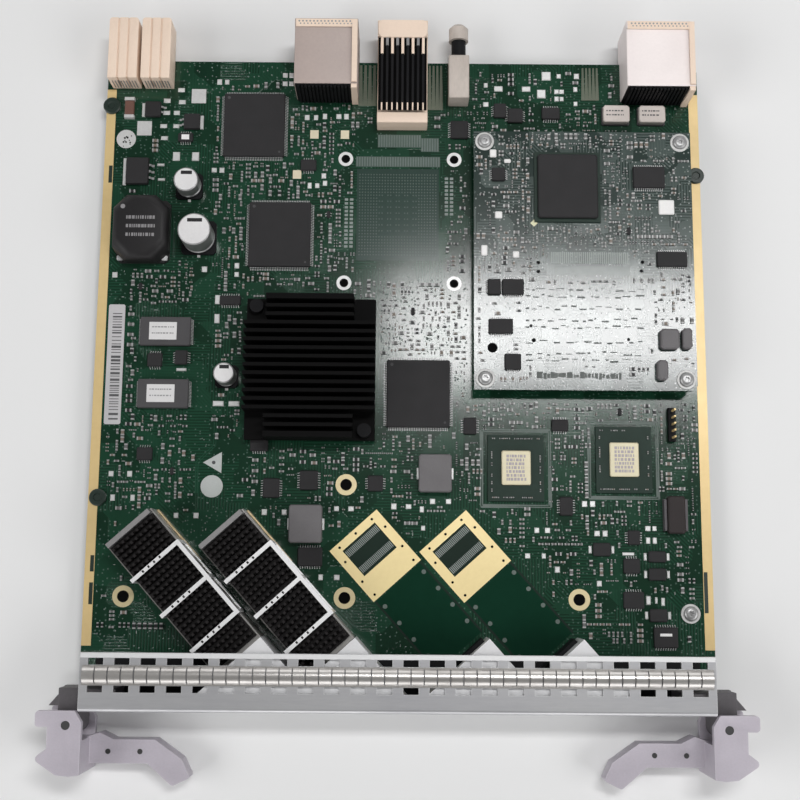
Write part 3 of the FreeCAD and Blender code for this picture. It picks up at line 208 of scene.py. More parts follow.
def washer(heap, x, y, z, outer, inner, height=0.05, sides=32):
    """Flat ring, closed on itself."""
    first = len(heap.points)
    for radius, level in ((outer, z), (outer, z + height), (inner, z + height), (inner, z)):
        heap.points += raised(circle(x, y, radius, sides), level)
    for band in range(4):
        low, high = first + band * sides, first + (band + 1) % 4 * sides
        for k in range(sides):
            following = (k + 1) % sides
            heap.faces.append((low + k, low + following, high + following, high + k))


def bent(heap, x, y, out, path, width, thick):
    """Flat strip that follows path, given as distances outwards and heights, from x, y towards out."""
    half = (-out[1] * width / 2, out[0] * width / 2)
    rings = []
    for reach, z in path:
        a, b = x + out[0] * reach, y + out[1] * reach
        corners = ((-1, 0), (1, 0), (1, thick), (-1, thick))
        rings.append([(a + side * half[0], b + side * half[1], z + lift) for side, lift in corners])
    heap.loft(rings)


def track(heap, route, width, z, thick=COPPER_THICK):
    """Flat conductor along a route of x, y points, mitred at its bends."""
    rings = []
    for k, (x, y) in enumerate(route):
        before, after = route[max(k - 1, 0)], route[min(k + 1, len(route) - 1)]
        into = Vector((x - before[0], y - before[1]))
        away = Vector((after[0] - x, after[1] - y))
        into, away = into or away, away or into
        way = (into.normalized() + away.normalized()).normalized()
        half = width / 2 / max(0.5, way.dot(into.normalized()))
        a, b = -way.y * half, way.x * half
        edges = [(x + a, y + b), (x - a, y - b)]
        rings.append(raised(edges, z) + raised(edges[::-1], z + thick))
    heap.loft(rings)


SIDES = {"e": (1, 0), "n": (0, 1), "w": (-1, 0), "s": (0, -1)}
LEAD_THICK, LEAD_KNEE, LEAD_FOOT = 0.12, 0.45, 0.02


def gull_leads(heap, low, high, sides, pitch, reach=1.0, width=0.3):
    """Bent leads along the named sides of a package."""
    middle, size = middle_and_size(low, high)
    knee, foot = low.z + LEAD_KNEE * size.z, low.z + LEAD_FOOT
    for side in sides:
        out = SIDES[side]
        edge, row = (size.x, size.y) if out[0] else (size.y, size.x)
        count = max(2, int((row - 0.8) / pitch))
        edge /= 2
        path = ((edge - 0.2, knee), (edge + 0.3 * reach, knee),
                (edge + 0.55 * reach, foot), (edge + reach, foot))
        for along in spread(count, pitch):
            x, y = middle.x + along * out[1], middle.y + along * out[0]
            bent(heap, x, y, out, path, width, LEAD_THICK)


def print_bars(heap, x, y, z, width, rows, pitch, height):
    """Rows of short printed bars of uneven length."""
    for row in range(rows):
        v = ((rows - 1) / 2 - row) * pitch
        u = -width / 2
        while u < width / 2 - 0.4:
            run = min(rng.uniform(0.35, 1.1), width / 2 - u)
            brick(heap, x + u + run / 2, y + v, z, run, height, INK_THICK)
            u += run + rng.uniform(0.18, 0.5)


def enlist(name, mesh, material, body, stands_for, smooth):
    mesh.shade_smooth()
    mesh.set_sharp_from_angle(angle=math.radians(smooth))
    mesh.materials.clear()
    mesh.materials.append(material)
    made = bpy.data.objects.new(name, mesh)
    bpy.context.scene.collection.objects.link(made)
    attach(made, body)
    if stands_for:
        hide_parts(*stands_for)


def piece(name, heap, material, body="card", stands_for=(), smooth=25):
    mesh = bpy.data.meshes.new(name)
    mesh.from_pydata([Vector(point) * MM for point in heap.points], [], heap.faces)
    shape = bmesh.new()
    shape.from_mesh(mesh)
    bmesh.ops.recalc_face_normals(shape, faces=shape.faces)
    shape.to_mesh(mesh)
    shape.free()
    enlist(name, mesh, material, body, stands_for, smooth)


FLAT_ANGLE, SHARP_ANGLE, ROUND_STEPS, ROUND_SMOOTH = math.radians(1), math.radians(50), 3, 40


def softened(name, node, radius, material, body="card", share=1.0):
    """A CAD part again, with its sharp edges rounded.

    A share below 1 shrinks it about its middle, so that it slides free of its neighbours.
    """
    shape = bmesh.new()
    shape.from_mesh(nodes[node].data)
    bmesh.ops.remove_doubles(shape, verts=shape.verts, dist=0.001 * MM)
    low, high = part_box(node)
    centre = Matrix.Translation((low + high) / -2)
    bmesh.ops.scale(shape, vec=(share, share, share), space=centre, verts=shape.verts)
    bmesh.ops.dissolve_limit(shape, angle_limit=FLAT_ANGLE, verts=shape.verts, edges=shape.edges)
    sharp = [edge for edge in shape.edges if edge.calc_face_angle(0.0) > SHARP_ANGLE]
    bmesh.ops.bevel(shape, geom=sharp, offset=radius * MM, segments=ROUND_STEPS, profile=0.5, affect="EDGES",
                    clamp_overlap=True)
    mesh = bpy.data.meshes.new(name)
    shape.to_mesh(mesh)
    shape.free()
    enlist(name, mesh, material, body, [node], ROUND_SMOOTH)


def dress(material, *names):
    for name in names:
        nodes[name].data.materials.clear()
        nodes[name].data.materials.append(material)


# Finishes.
def add(tree, kind, settings=None, **sockets):
    """New node: settings are its own properties, sockets are linked or set, by name or by _number."""
    node = tree.nodes.new("ShaderNode" + kind)
    for key, value in (settings or {}).items():
        setattr(node, key, value)
    for key, value in sockets.items():
        socket = node.inputs[int(key[1:]) if key[0] == "_" else key.replace("_", " ")]
        if isinstance(value, bpy.types.NodeSocket):
            tree.links.new(value, socket)
        else:
            socket.default_value = value
    return node


def calc(tree, operation, first, second=0.0, clamp=False):
    return add(tree, "Math", {"operation": operation, "use_clamp": clamp}, _0=first, _1=second).outputs[0]


def tint(tree, share, first, second):
    return add(tree, "Mix", {"data_type": "RGBA"}, _0=share, _6=first, _7=second).outputs[2]


def choose(tree, share, first, second):
    return add(tree, "Mix", {"data_type": "FLOAT"}, _0=share, _2=first, _3=second).outputs[0]


def effect(name, inputs, outputs):
    """Empty node group with named sockets; gives the tree, its inputs and its output node."""
    tree = bpy.data.node_groups.new(name, "ShaderNodeTree")
    for title, kind in inputs:
        tree.interface.new_socket(name=title, in_out="INPUT", socket_type="NodeSocket" + kind)
    for title, kind in outputs:
        tree.interface.new_socket(name=title, in_out="OUTPUT", socket_type="NodeSocket" + kind)
    return tree, tree.nodes.new("NodeGroupInput").outputs, tree.nodes.new("NodeGroupOutput").inputs


def colour(red, green, blue):
    return (red, green, blue, 1.0)


def make_surface_grain():
    tree, given, result = effect(
        "surface_grain",
        (("Colour", "Color"), ("Shade", "Color"), ("Scale", "Float"), ("Stretch", "Vector"),
         ("Roughness", "Float"), ("Spread", "Float")),
        (("Colour", "Color"), ("Roughness", "Float"), ("Height", "Float")))
    place = add(tree, "TexCoord").outputs["Object"]
    drawn = add(tree, "VectorMath", {"operation": "MULTIPLY"}, _0=place, _1=given["Stretch"]).outputs[0]
    broad = calc(tree, "MULTIPLY", given["Scale"], 0.07)
    cloud = add(tree, "TexNoise", Vector=place, Scale=broad, Detail=3.0).outputs[0]
    grain = add(tree, "TexNoise", Vector=drawn, Scale=given["Scale"], Detail=5.0, Roughness=0.62).outputs[0]
    mixed = calc(tree, "ADD", calc(tree, "MULTIPLY", cloud, 0.55), calc(tree, "MULTIPLY", grain, 0.45))
    share = calc(tree, "MULTIPLY", calc(tree, "SUBTRACT", mixed, 0.3), 2.5, True)
    tree.links.new(tint(tree, share, given["Colour"], given["Shade"]), result["Colour"])
    swing = calc(tree, "MULTIPLY", calc(tree, "SUBTRACT", mixed, 0.5), given["Spread"])
    tree.links.new(calc(tree, "ADD", given["Roughness"], swing, True), result["Roughness"])
    tree.links.new(grain, result["Height"])
    return tree


# Edge mask in patches that paints edges lighter: partly edge wear, partly painted highlight along edges and
# bends.
def make_edge_wear_and_highlight():
    tree, given, result = effect("edge_wear_and_highlight", (("Radius", "Float"), ("Strength", "Float")),
                                 (("Mask", "Float"),))
    rounded = add(tree, "Bevel", {"samples": 4}, Radius=given["Radius"]).outputs[0]
    true_normal = add(tree, "NewGeometry").outputs["Normal"]
    likeness = add(tree, "VectorMath", {"operation": "DOT_PRODUCT"}, _0=rounded, _1=true_normal)
    turn = calc(tree, "SUBTRACT", 1.0, likeness.outputs["Value"])
    bend = calc(tree, "MULTIPLY", turn, given["Strength"])
    place = add(tree, "TexCoord").outputs["Object"]
    patches = add(tree, "TexNoise", Vector=place, Scale=260.0, Detail=4.0).outputs[0]
    tree.links.new(calc(tree, "MULTIPLY", bend, patches, True), result["Mask"])
    return tree


def make_copper_under_mask():
    """Conductors, poured areas and vias that show through the solder mask."""
    tree, given, result = effect("copper_under_mask", (("Pitch", "Float"), ("Patch", "Float")),
                                 (("Copper", "Float"), ("Via", "Float"), ("Height", "Float")))
    metres = add(tree, "TexCoord").outputs["Object"]
    place = add(tree, "VectorMath", {"operation": "SCALE"}, Vector=metres, Scale=1 / MM).outputs[0]
    axes = add(tree, "SeparateXYZ", Vector=place).outputs
    patch = add(tree, "TexVoronoi", {"distance": "CHEBYCHEV", "voronoi_dimensions": "2D"}, Vector=place,
                Scale=calc(tree, "DIVIDE", 1.0, given["Patch"]), Randomness=0.85)
    luck = add(tree, "SeparateColor", Color=patch.outputs["Color"]).outputs

    def lines(value):
        wave = calc(tree, "DIVIDE", calc(tree, "PINGPONG", value, given["Pitch"]), given["Pitch"])
        return calc(tree, "GREATER_THAN", wave, 0.52)

    slant = lines(calc(tree, "MULTIPLY", calc(tree, "ADD", axes[0], axes[1]), 0.7071))
    way = choose(tree, calc(tree, "GREATER_THAN", luck[0], 0.45), lines(axes[0]), lines(axes[1]))
    way = choose(tree, calc(tree, "GREATER_THAN", luck[0], 0.86), way, slant)
    routed = calc(tree, "MULTIPLY", way, calc(tree, "GREATER_THAN", luck[1], 0.34))
    poured = calc(tree, "MULTIPLY", calc(tree, "GREATER_THAN", luck[2], 0.72), 0.75)
    dots = add(tree, "TexVoronoi", {"voronoi_dimensions": "2D"}, Vector=place, Scale=0.55, Randomness=0.7)
    dot_luck = add(tree, "SeparateColor", Color=dots.outputs["Color"]).outputs[0]
    small = calc(tree, "LESS_THAN", dots.outputs["Distance"], 0.16)
    via = calc(tree, "MULTIPLY", small, calc(tree, "GREATER_THAN", dot_luck, 0.5))
    copper = calc(tree, "MAXIMUM", routed, poured)
    tree.links.new(copper, result["Copper"])
    tree.links.new(via, result["Via"])
    weave = add(tree, "TexNoise", Vector=place, Scale=2.4, Detail=3.0).outputs[0]
    bumps = calc(tree, "ADD", calc(tree, "ADD", copper, via), calc(tree, "MULTIPLY", weave, 0.6))
    tree.links.new(bumps, result["Height"])
    return tree


surface_grain = make_surface_grain()
edge_wear_and_highlight = make_edge_wear_and_highlight()
copper_under_mask = make_copper_under_mask()


def blank_material(name):
    material = bpy.data.materials.new(name)
    material.use_nodes = True
    material.node_tree.nodes.clear()
    return material, material.node_tree


def finish(name, base, shade, roughness, spread=0.12, metallic=0.0, scale=700.0, stretch=(1, 1, 1),
           relief=0.01, edge_lightening=None, **sockets):
    """Finish with grain and tone that vary over the surface; edge_lightening is an edge colour and its width,
    which paints edges lighter as edge wear and as a painted highlight along edges and bends.
    """
    material, tree = blank_material(name)
    grain = add(tree, "Group", {"node_tree": surface_grain}, Colour=colour(*base), Shade=colour(*shade),
                Scale=scale, Stretch=stretch, Roughness=roughness, Spread=spread).outputs
    tone = grain["Colour"]
    if edge_lightening:
        edge_tone, edge_width = edge_lightening
        edges = add(tree, "Group", {"node_tree": edge_wear_and_highlight}, Radius=edge_width * MM, Strength=7.0)
        tone = tint(tree, edges.outputs["Mask"], tone, colour(*edge_tone))
    bump = add(tree, "Bump", Strength=1.0, Distance=relief * MM, Height=grain["Height"]).outputs[0]
    shader = add(tree, "BsdfPrincipled", Base_Color=tone, Roughness=grain["Roughness"], Metallic=metallic,
                 Normal=bump, **sockets)
    add(tree, "OutputMaterial", Surface=shader.outputs[0])
    return material


def masked_board(name, laminate, copper, via, patch, roughness, relief):
    """Solder mask over laminate and copper."""
    material, tree = blank_material(name)
    layers = add(tree, "Group", {"node_tree": copper_under_mask}, Pitch=0.55, Patch=patch).outputs
    dimmer = colour(*(0.7 * part for part in laminate))
    grain = add(tree, "Group", {"node_tree": surface_grain}, Colour=colour(*laminate), Shade=dimmer,
                Scale=240.0, Stretch=(1, 1, 1), Roughness=roughness, Spread=0.06).outputs
    tone = tint(tree, layers["Copper"], grain["Colour"], colour(*copper))
    tone = tint(tree, layers["Via"], tone, colour(*via))
    bump = add(tree, "Bump", Strength=1.0, Distance=relief * MM, Height=layers["Height"]).outputs[0]
    shader = add(tree, "BsdfPrincipled", Base_Color=tone, Roughness=grain["Roughness"], Normal=bump)
    add(tree, "OutputMaterial", Surface=shader.outputs[0])
    return material


# Board, copper and plating.
board_green = masked_board("board_green", (0.0072, 0.035, 0.018), (0.011, 0.052, 0.028), (0.06, 0.11, 0.085),
                           9.0, 0.14, 0.010)
daughter_green = masked_board("daughter_green", (0.026, 0.044, 0.038), (0.074, 0.098, 0.090),
                              (0.26, 0.28, 0.27), 6.0, 0.14, 0.008)
field_green = finish("field_green", (0.007, 0.037, 0.021), (0.005, 0.029, 0.016), 0.30, scale=300.0,
                     Specular_IOR_Level=0.02)
field_edge = finish("field_edge", (0.007, 0.020, 0.013), (0.005, 0.014, 0.009), 0.5, scale=300.0,
                    Specular_IOR_Level=0.15)
track_green = finish("track_green", (0.020, 0.074, 0.043), (0.014, 0.056, 0.032), 0.13, scale=500.0)
track_olive = finish("track_olive", (0.105, 0.120, 0.078), (0.060, 0.078, 0.048), 0.40, scale=500.0)
pour_green = finish("pour_green", (0.075, 0.110, 0.095), (0.050, 0.080, 0.068), 0.34, scale=600.0,
                    Specular_IOR_Level=0.2)
site_green = finish("site_green", (0.030, 0.056, 0.046), (0.020, 0.042, 0.033), 0.15, scale=400.0)
dot_green = finish("dot_green", (0.060, 0.088, 0.076), (0.046, 0.070, 0.060), 0.3, scale=600.0,
                   Specular_IOR_Level=0.3)
land_dim = finish("land_dim", (0.15, 0.18, 0.165), (0.10, 0.13, 0.115), 0.42, scale=1400.0,
                  Specular_IOR_Level=0.2)
land_pale = finish("land_pale", (0.25, 0.28, 0.265), (0.18, 0.21, 0.195), 0.42, scale=1400.0)
substrate_dark = finish("substrate_dark", (0.016, 0.034, 0.025), (0.010, 0.024, 0.017), 0.5, scale=900.0,
                        Specular_IOR_Level=0.2)
insert_green = finish("insert_green", (0.004, 0.014, 0.009), (0.006, 0.020, 0.013), 0.42, scale=900.0,
                      relief=0.02)
gold_plate = finish("gold_plate", (0.76, 0.57, 0.28), (0.66, 0.49, 0.23), 0.38, metallic=0.2, scale=300.0)
gold_land = finish("gold_land", (0.90, 0.74, 0.38), (0.82, 0.66, 0.33), 0.38, metallic=0.15, scale=500.0)
gold_dull = finish("gold_dull", (0.68, 0.58, 0.35), (0.56, 0.47, 0.27), 0.40, metallic=0.4, scale=600.0)
gold_pale = finish("gold_pale", (0.70, 0.63, 0.47), (0.60, 0.53, 0.38), 0.42, metallic=0.2, scale=600.0)
gold_lid = finish("gold_lid", (0.70, 0.64, 0.45), (0.62, 0.56, 0.39), 0.45, metallic=0.1, scale=900.0)
tin_solder = finish("tin_solder", (0.70, 0.70, 0.69), (0.52, 0.52, 0.52), 0.40, metallic=0.35, scale=1400.0)
solder_dull = finish("solder_dull", (0.42, 0.42, 0.415), (0.29, 0.29, 0.29), 0.45, metallic=0.3, scale=1400.0)
lead_tin = finish("lead_tin", (0.42, 0.42, 0.42), (0.30, 0.30, 0.30), 0.42, metallic=0.45, scale=1400.0)

# Sheet metal, castings and screws.
# Its edges are painted lighter: painted highlight along the panel's bends, with some edge wear.
panel_zinc = finish("panel_zinc", (0.65, 0.65, 0.66), (0.42, 0.42, 0.44), 0.36, 0.25, 0.65, 420.0,
                    (0.12, 1, 1), 0.006, edge_lightening=((0.88, 0.88, 0.89), 0.5))
spring_bright = finish("spring_bright", (0.66, 0.64, 0.62), (0.46, 0.44, 0.42), 0.30, 0.2, 0.75, 500.0,
                       (0.3, 1, 1), 0.004)
clip_bright = finish("clip_bright", (0.90, 0.90, 0.90), (0.78, 0.78, 0.79), 0.38, 0.15, 0.4, 600.0,
                     relief=0.006)
bezel_grey = finish("bezel_grey", (0.72, 0.72, 0.73), (0.62, 0.62, 0.63), 0.5, 0.1, 0.2, 900.0,
                    edge_lightening=((0.75, 0.75, 0.76), 0.4))
cage_nickel = finish("cage_nickel", (0.40, 0.39, 0.37), (0.30, 0.29, 0.28), 0.42, 0.15, 0.6, 500.0,
                     relief=0.006)
skirt_bronze = finish("skirt_bronze", (0.60, 0.47, 0.28), (0.46, 0.36, 0.21), 0.42, 0.15, 0.5, 500.0,
                      relief=0.006)
cooler_black = finish("cooler_black", (0.0014, 0.0013, 0.0014), (0.0024, 0.0022, 0.0023), 0.65, 0.15, 0.0,
                      1100.0, edge_lightening=((0.007, 0.007, 0.007), 0.25), Specular_IOR_Level=0.08)
pin_black = finish("pin_black", (0.011, 0.009, 0.0095), (0.007, 0.006, 0.006), 0.6, 0.15, 0.0, 1100.0,
                   Specular_IOR_Level=0.2)
lip_grey = finish("lip_grey", (0.27, 0.26, 0.26), (0.20, 0.20, 0.20), 0.5, 0.1, 0.3, 700.0)
lever_paint = finish("lever_paint", (0.50, 0.463, 0.518), (0.42, 0.387, 0.434), 0.5, 0.12, 0.1, 1500.0,
                     relief=0.02, edge_lightening=((0.66, 0.62, 0.67), 0.5))
# Dark paint: on the lever seats it is painted shade at the levers' roots; it also colours the filter's ends.
bracket_dark = finish("bracket_dark", (0.10, 0.092, 0.10), (0.07, 0.065, 0.07), 0.5, 0.12, 0.3, 1200.0,
                      relief=0.015)
steel_screw = finish("steel_screw", (0.36, 0.36, 0.36), (0.26, 0.26, 0.26), 0.34, 0.15, 0.55, 900.0,
                     (1, 1, 0.3))
washer_steel = finish("washer_steel", (0.58, 0.58, 0.57), (0.46, 0.46, 0.45), 0.45, 0.15, 0.2, 900.0)
guide_metal = finish("guide_metal", (0.60, 0.53, 0.48), (0.42, 0.37, 0.33), 0.5, 0.15, 0.1, 900.0,
                     (1, 0.3, 1))
dark_steel = finish("dark_steel", (0.08, 0.08, 0.08), (0.05, 0.05, 0.05), 0.45, 0.1, 0.6, 900.0, relief=0.006)
# One aluminium can painted twice: a darker side as painted shade and a paler top as painted light.
can_side_shaded = finish("can_side_shaded", (0.34, 0.34, 0.34), (0.26, 0.26, 0.26), 0.36, 0.1, 0.7, 800.0, relief=0.004)
can_top_lit = finish("can_top_lit", (0.76, 0.75, 0.75), (0.66, 0.65, 0.65), 0.5, 0.1, 0.1, 900.0, relief=0.004)

# Mouldings, packages and print.
connector_cream = finish("connector_cream", (0.86, 0.69, 0.56), (0.78, 0.62, 0.50), 0.5, 0.1, 0.0, 900.0)
# The next two are one moulding colour painted twice: a darker copy as painted shade for the left signal
# connector, and a paler copy as painted highlight for the right one.
connector_shaded = finish("connector_shaded", (0.44, 0.36, 0.33), (0.38, 0.31, 0.285), 0.5, 0.1, 0.0, 900.0)
connector_white = finish("connector_white", (0.86, 0.78, 0.765), (0.79, 0.715, 0.70), 0.45, 0.1, 0.0, 900.0)
oscillator_lid = finish("oscillator_lid", (0.58, 0.52, 0.48), (0.48, 0.43, 0.40), 0.45, 0.12, 0.2, 900.0)
epoxy_dark = finish("epoxy_dark", (0.021, 0.020, 0.0215), (0.016, 0.0155, 0.0165), 0.62, 0.1, 0.0, 2200.0,
                    Specular_IOR_Level=0.25)
epoxy_grey = finish("epoxy_grey", (0.070, 0.068, 0.071), (0.058, 0.056, 0.059), 0.62, 0.1, 0.0, 2000.0,
                    Specular_IOR_Level=0.25)
ferrite_grey = finish("ferrite_grey", (0.140, 0.133, 0.138), (0.110, 0.104, 0.108), 0.6, 0.1, 0.0, 1600.0,
                      relief=0.02)
choke_black = finish("choke_black", (0.014, 0.013, 0.014), (0.009, 0.0085, 0.009), 0.5, 0.12, 0.0, 1400.0,
                     relief=0.02, Specular_IOR_Level=0.25)
moulding_black = finish("moulding_black", (0.008, 0.008, 0.009), (0.005, 0.005, 0.006), 0.55, 0.12, 0.0,
                        1400.0, Specular_IOR_Level=0.12)
filter_brown = finish("filter_brown", (0.026, 0.020, 0.020), (0.018, 0.014, 0.014), 0.55, 0.1, 0.0, 1500.0,
                      relief=0.015, Specular_IOR_Level=0.25)
ceramic_tan = finish("ceramic_tan", (0.17, 0.135, 0.105), (0.12, 0.092, 0.072), 0.5, 0.1, 0.0, 3000.0)
ceramic_grey = finish("ceramic_grey", (0.13, 0.13, 0.125), (0.09, 0.09, 0.088), 0.5, 0.1, 0.0, 3000.0)
ceramic_rust = finish("ceramic_rust", (0.16, 0.075, 0.055), (0.12, 0.055, 0.040), 0.5, 0.1, 0.0, 2000.0)
resistor_black = finish("resistor_black", (0.012, 0.012, 0.013), (0.020, 0.020, 0.021), 0.45, 0.1, 0.0,
                        3000.0, Specular_IOR_Level=0.25)
label_paper = finish("label_paper", (0.70, 0.69, 0.69), (0.62, 0.61, 0.61), 0.6, 0.08, 0.0, 1500.0)
# Darker paper than the memory labels, for the long label.
label_darker = finish("label_darker", (0.52, 0.51, 0.52), (0.43, 0.42, 0.43), 0.6, 0.08, 0.0, 1500.0)
label_ink = finish("label_ink", (0.05, 0.05, 0.052), (0.08, 0.08, 0.083), 0.6, 0.08, 0.0, 1500.0)
# Grey for print, and as painted shade in the connector lips' holes.
grey_print_and_hole_shade = finish("grey_print_and_hole_shade", (0.24, 0.24, 0.24), (0.30, 0.30, 0.30), 0.6, 0.08, 0.0, 1500.0)
ink_faint = finish("ink_faint", (0.26, 0.25, 0.255), (0.19, 0.185, 0.19), 0.6, 0.08, 0.0, 1500.0)
screen_dim = finish("screen_dim", (0.16, 0.17, 0.165), (0.10, 0.11, 0.105), 0.65, 0.08, 0.0, 1800.0,
                    Specular_IOR_Level=0.1)
screen_white = finish("screen_white", (0.48, 0.50, 0.49), (0.38, 0.41, 0.39), 0.55, 0.08, 0.0, 1800.0)
cap_white = finish("cap_white", (0.86, 0.85, 0.84), (0.76, 0.75, 0.74), 0.5, 0.08, 0.0, 1800.0)
mark_lilac = finish("mark_lilac", (0.40, 0.36, 0.39), (0.32, 0.29, 0.31), 0.5, 0.1, 0.0, 1500.0)
mark_yellow = finish("mark_yellow", (0.78, 0.76, 0.52), (0.66, 0.64, 0.42), 0.5, 0.1, 0.0, 1500.0)
# Black for holes and gaps: painted shade inside them.
recess_shade_black = finish("recess_shade_black", (0.004, 0.004, 0.004), (0.007, 0.007, 0.007), 0.7, 0.1, 0.0, 1500.0,
                    Specular_IOR_Level=0.0)

dress(board_green, "main_board")
dress(daughter_green, "mezzanine_board")
dress(gold_plate, "edge_strips", "header_pins")
dress(gold_land, "ground_pads")
dress(substrate_dark, "optics_chips", "core_substrate")
dress(panel_zinc, "front_panel")
dress(bezel_grey, "port_bezel_left", "port_bezel_right")
dress(cage_nickel, "cage_1", "cage_2")
dress(clip_bright, "cage_clip_1", "cage_clip_2")
dress(cooler_black, "processor_cooler")
dress(dark_steel, "lever_pin_left", "lever_pin_right")
dress(steel_screw, "mezzanine_standoffs")
dress(guide_metal, "guide_pin")
dress(tin_solder, "transistor_tab")
dress(moulding_black, "middle_blades", "module_sockets", "port_blanks", "pin_header", "stacking_sockets",
      "stacking_plugs", "cooler_pushpins")
dress(epoxy_dark, "processor")

for side in ("left", "right"):
    softened(f"lever_{side}_casting", f"lever_{side}", 0.45, lever_paint, f"lever_{side}")
    # The seats are painted dark: painted shade between jaw and arm.
    softened(f"lever_{side}_seat", f"lever_bracket_{side}", 0.3, bracket_dark)
for place in ("outer", "inner"):
    softened(f"power_housing_{place}", f"power_connector_{place}", 0.3, connector_cream)
# Left and right housings: painted shade and painted light on one moulding.
softened("signal_housing_left", "signal_connector_left", 0.4, connector_shaded)
softened("signal_housing_right", "signal_connector_right", 0.4, connector_white)
softened("middle_housing", "middle_connector", 0.35, connector_cream)
softened("guide_casting", "guide_block", 0.4, guide_metal)
for body in ("transceiver_1", "transceiver_2"):
    softened(f"{body}_shell", body, 0.25, cage_nickel, body, 0.995)

# Packages with leads.
leads, tabs, pin_marks, ink, faint_print, grey_print = heaps(6)


def leaded(bodies, low, high, sides, pitch, reach=0.9):
    middle, size = middle_and_size(low, high)
    moulded(bodies, middle.x, middle.y, low.z + 0.1, size.x, size.y, size.z - 0.1)
    gull_leads(leads, low, high, sides, pitch, reach)


CHIP_HEIGHT = 1.5


def board_package(bodies, x, depth, width, length, height=CHIP_HEIGHT, pitch=0.9):
    low = Vector((x - width / 2, at(depth) - length / 2, BOARD_TOP))
    high = Vector((x + width / 2, at(depth) + length / 2, BOARD_TOP + height))
    leaded(bodies, low, high, "ns" if width > length else "ew", pitch)


quad_bodies = Heap()
DOT_INSET = 1.9
for low, high in solids("quad_packages"):
    leaded(quad_bodies, low, high, "nesw", 0.65, 1.1)
    disc(pin_marks, low.x + DOT_INSET, high.y - DOT_INSET, high.z, 0.6, INK_THICK, 20)
    disc(pin_marks, high.x - DOT_INSET, low.y + DOT_INSET, high.z, 0.45, INK_THICK, 20)
piece("quad_bodies", quad_bodies, epoxy_dark, stands_for=["quad_packages"])

memory_bodies, memory_labels = heaps(2)
STICKER_WIDTH, STICKER_LENGTH, STICKER_THICK = 10.5, 6.8, 0.08
for low, high in solids("memory_packages"):
    leaded(memory_bodies, low, high, "ew", 0.55, 0.7)
    x, y = (low.x + high.x) / 2 - 0.8, (low.y + high.y) / 2
    brick(memory_labels, x, y, high.z, STICKER_WIDTH, STICKER_LENGTH, STICKER_THICK)
    print_bars(grey_print, x, y + 0.3, high.z + STICKER_THICK, 8.4, 2, 2.4, 0.5)
piece("memory_bodies", memory_bodies, epoxy_grey, stands_for=["memory_packages"])
piece("memory_labels", memory_labels, label_paper)

isolator_bodies = Heap()
ISOLATORS, ISOLATOR_HEIGHT = ((-93.5, 129.0, 5.7, 5.3), (-83.5, 130.0, 4.8, 5.6)), 2.0
for x, depth, width, length in ISOLATORS:
    board_package(isolator_bodies, x, depth, width, length, ISOLATOR_HEIGHT)
piece("isolator_bodies", isolator_bodies, epoxy_dark, stands_for=["isolator"])

driver_bodies = Heap()
HEAT_TAB, SHIELD_TAB, CHOKE_TAB, CAN_TAB = (1.3, 5.6, 0.7), (1.0, 4.2, 1.6), (2.4, 2.0, 0.7), (1.2, 1.6, 0.35)
drivers = sorted(solids("power_drivers"), key=lambda box: box[0].x - 100 * (box[1].y - box[0].y))
transistor, rear_driver, front_driver = drivers
for (low, high), side, pitch, width in ((transistor, "e", 2.54, 0.9), (rear_driver, "e", 2.2, 0.8),
                                        (front_driver, "w", 2.2, 0.8)):
    middle, size = middle_and_size(low, high)
    moulded(driver_bodies, middle.x, middle.y, low.z + 0.1, size.x, size.y, size.z - 0.1, draft=0.3)
    gull_leads(leads, low, high, side, pitch, 1.9, width)
piece("driver_bodies", driver_bodies, epoxy_dark, stands_for=["power_drivers"])
for (low, high), side in ((rear_driver, -1), (front_driver, 1)):
    edge = low.x if side < 0 else high.x
    brick(tabs, edge + side * 0.6, (low.y + high.y) / 2, BOARD_TOP, *HEAT_TAB, draft=0.08)

daughter_bodies, daughter_blocks = heaps(2)
INDUCTORS_LEFT, INDUCTORS_REAR, INDUCTOR_RISE = 90, 145, 1.4
for low, high, middle, size in parts_of("mezzanine_chips"):
    if middle.x > INDUCTORS_LEFT and middle.y < at(INDUCTORS_REAR):
        height = size.z + INDUCTOR_RISE
        moulded(daughter_blocks, middle.x, middle.y, low.z, size.x, size.y, height, 0.9, 0.1, 0.5)
    else:
        leaded(daughter_bodies, low, high, "ns" if size.x > size.y else "ew", 0.8)
piece("daughter_bodies", daughter_bodies, epoxy_dark, stands_for=["mezzanine_chips"])
piece("daughter_inductors", daughter_blocks, ferrite_grey)

core = Heap()
low, high = span("core_cap")
middle, size = middle_and_size(low, high)
moulded(core, middle.x, middle.y, low.z, size.x, size.y, size.z, 0.8, 0.3, 0.25)
piece("core_cap_moulding", core, epoxy_dark, stands_for=["core_cap"])

# Shielded inductors, oscillators, the edge filter and the power choke.
shields = Heap()
for low, high, middle, size in parts_of("shielded_inductors"):
    moulded(shields, middle.x, middle.y, low.z, size.x, size.y, size.z, 0.7, 0.15, 0.3)
    for side in (-1, 1):
        brick(tabs, middle.x + side * (size.x / 2 + 0.2), middle.y, BOARD_TOP, *SHIELD_TAB, draft=0.05)
piece("shielded_cores", shields, ferrite_grey, stands_for=["shielded_inductors"])

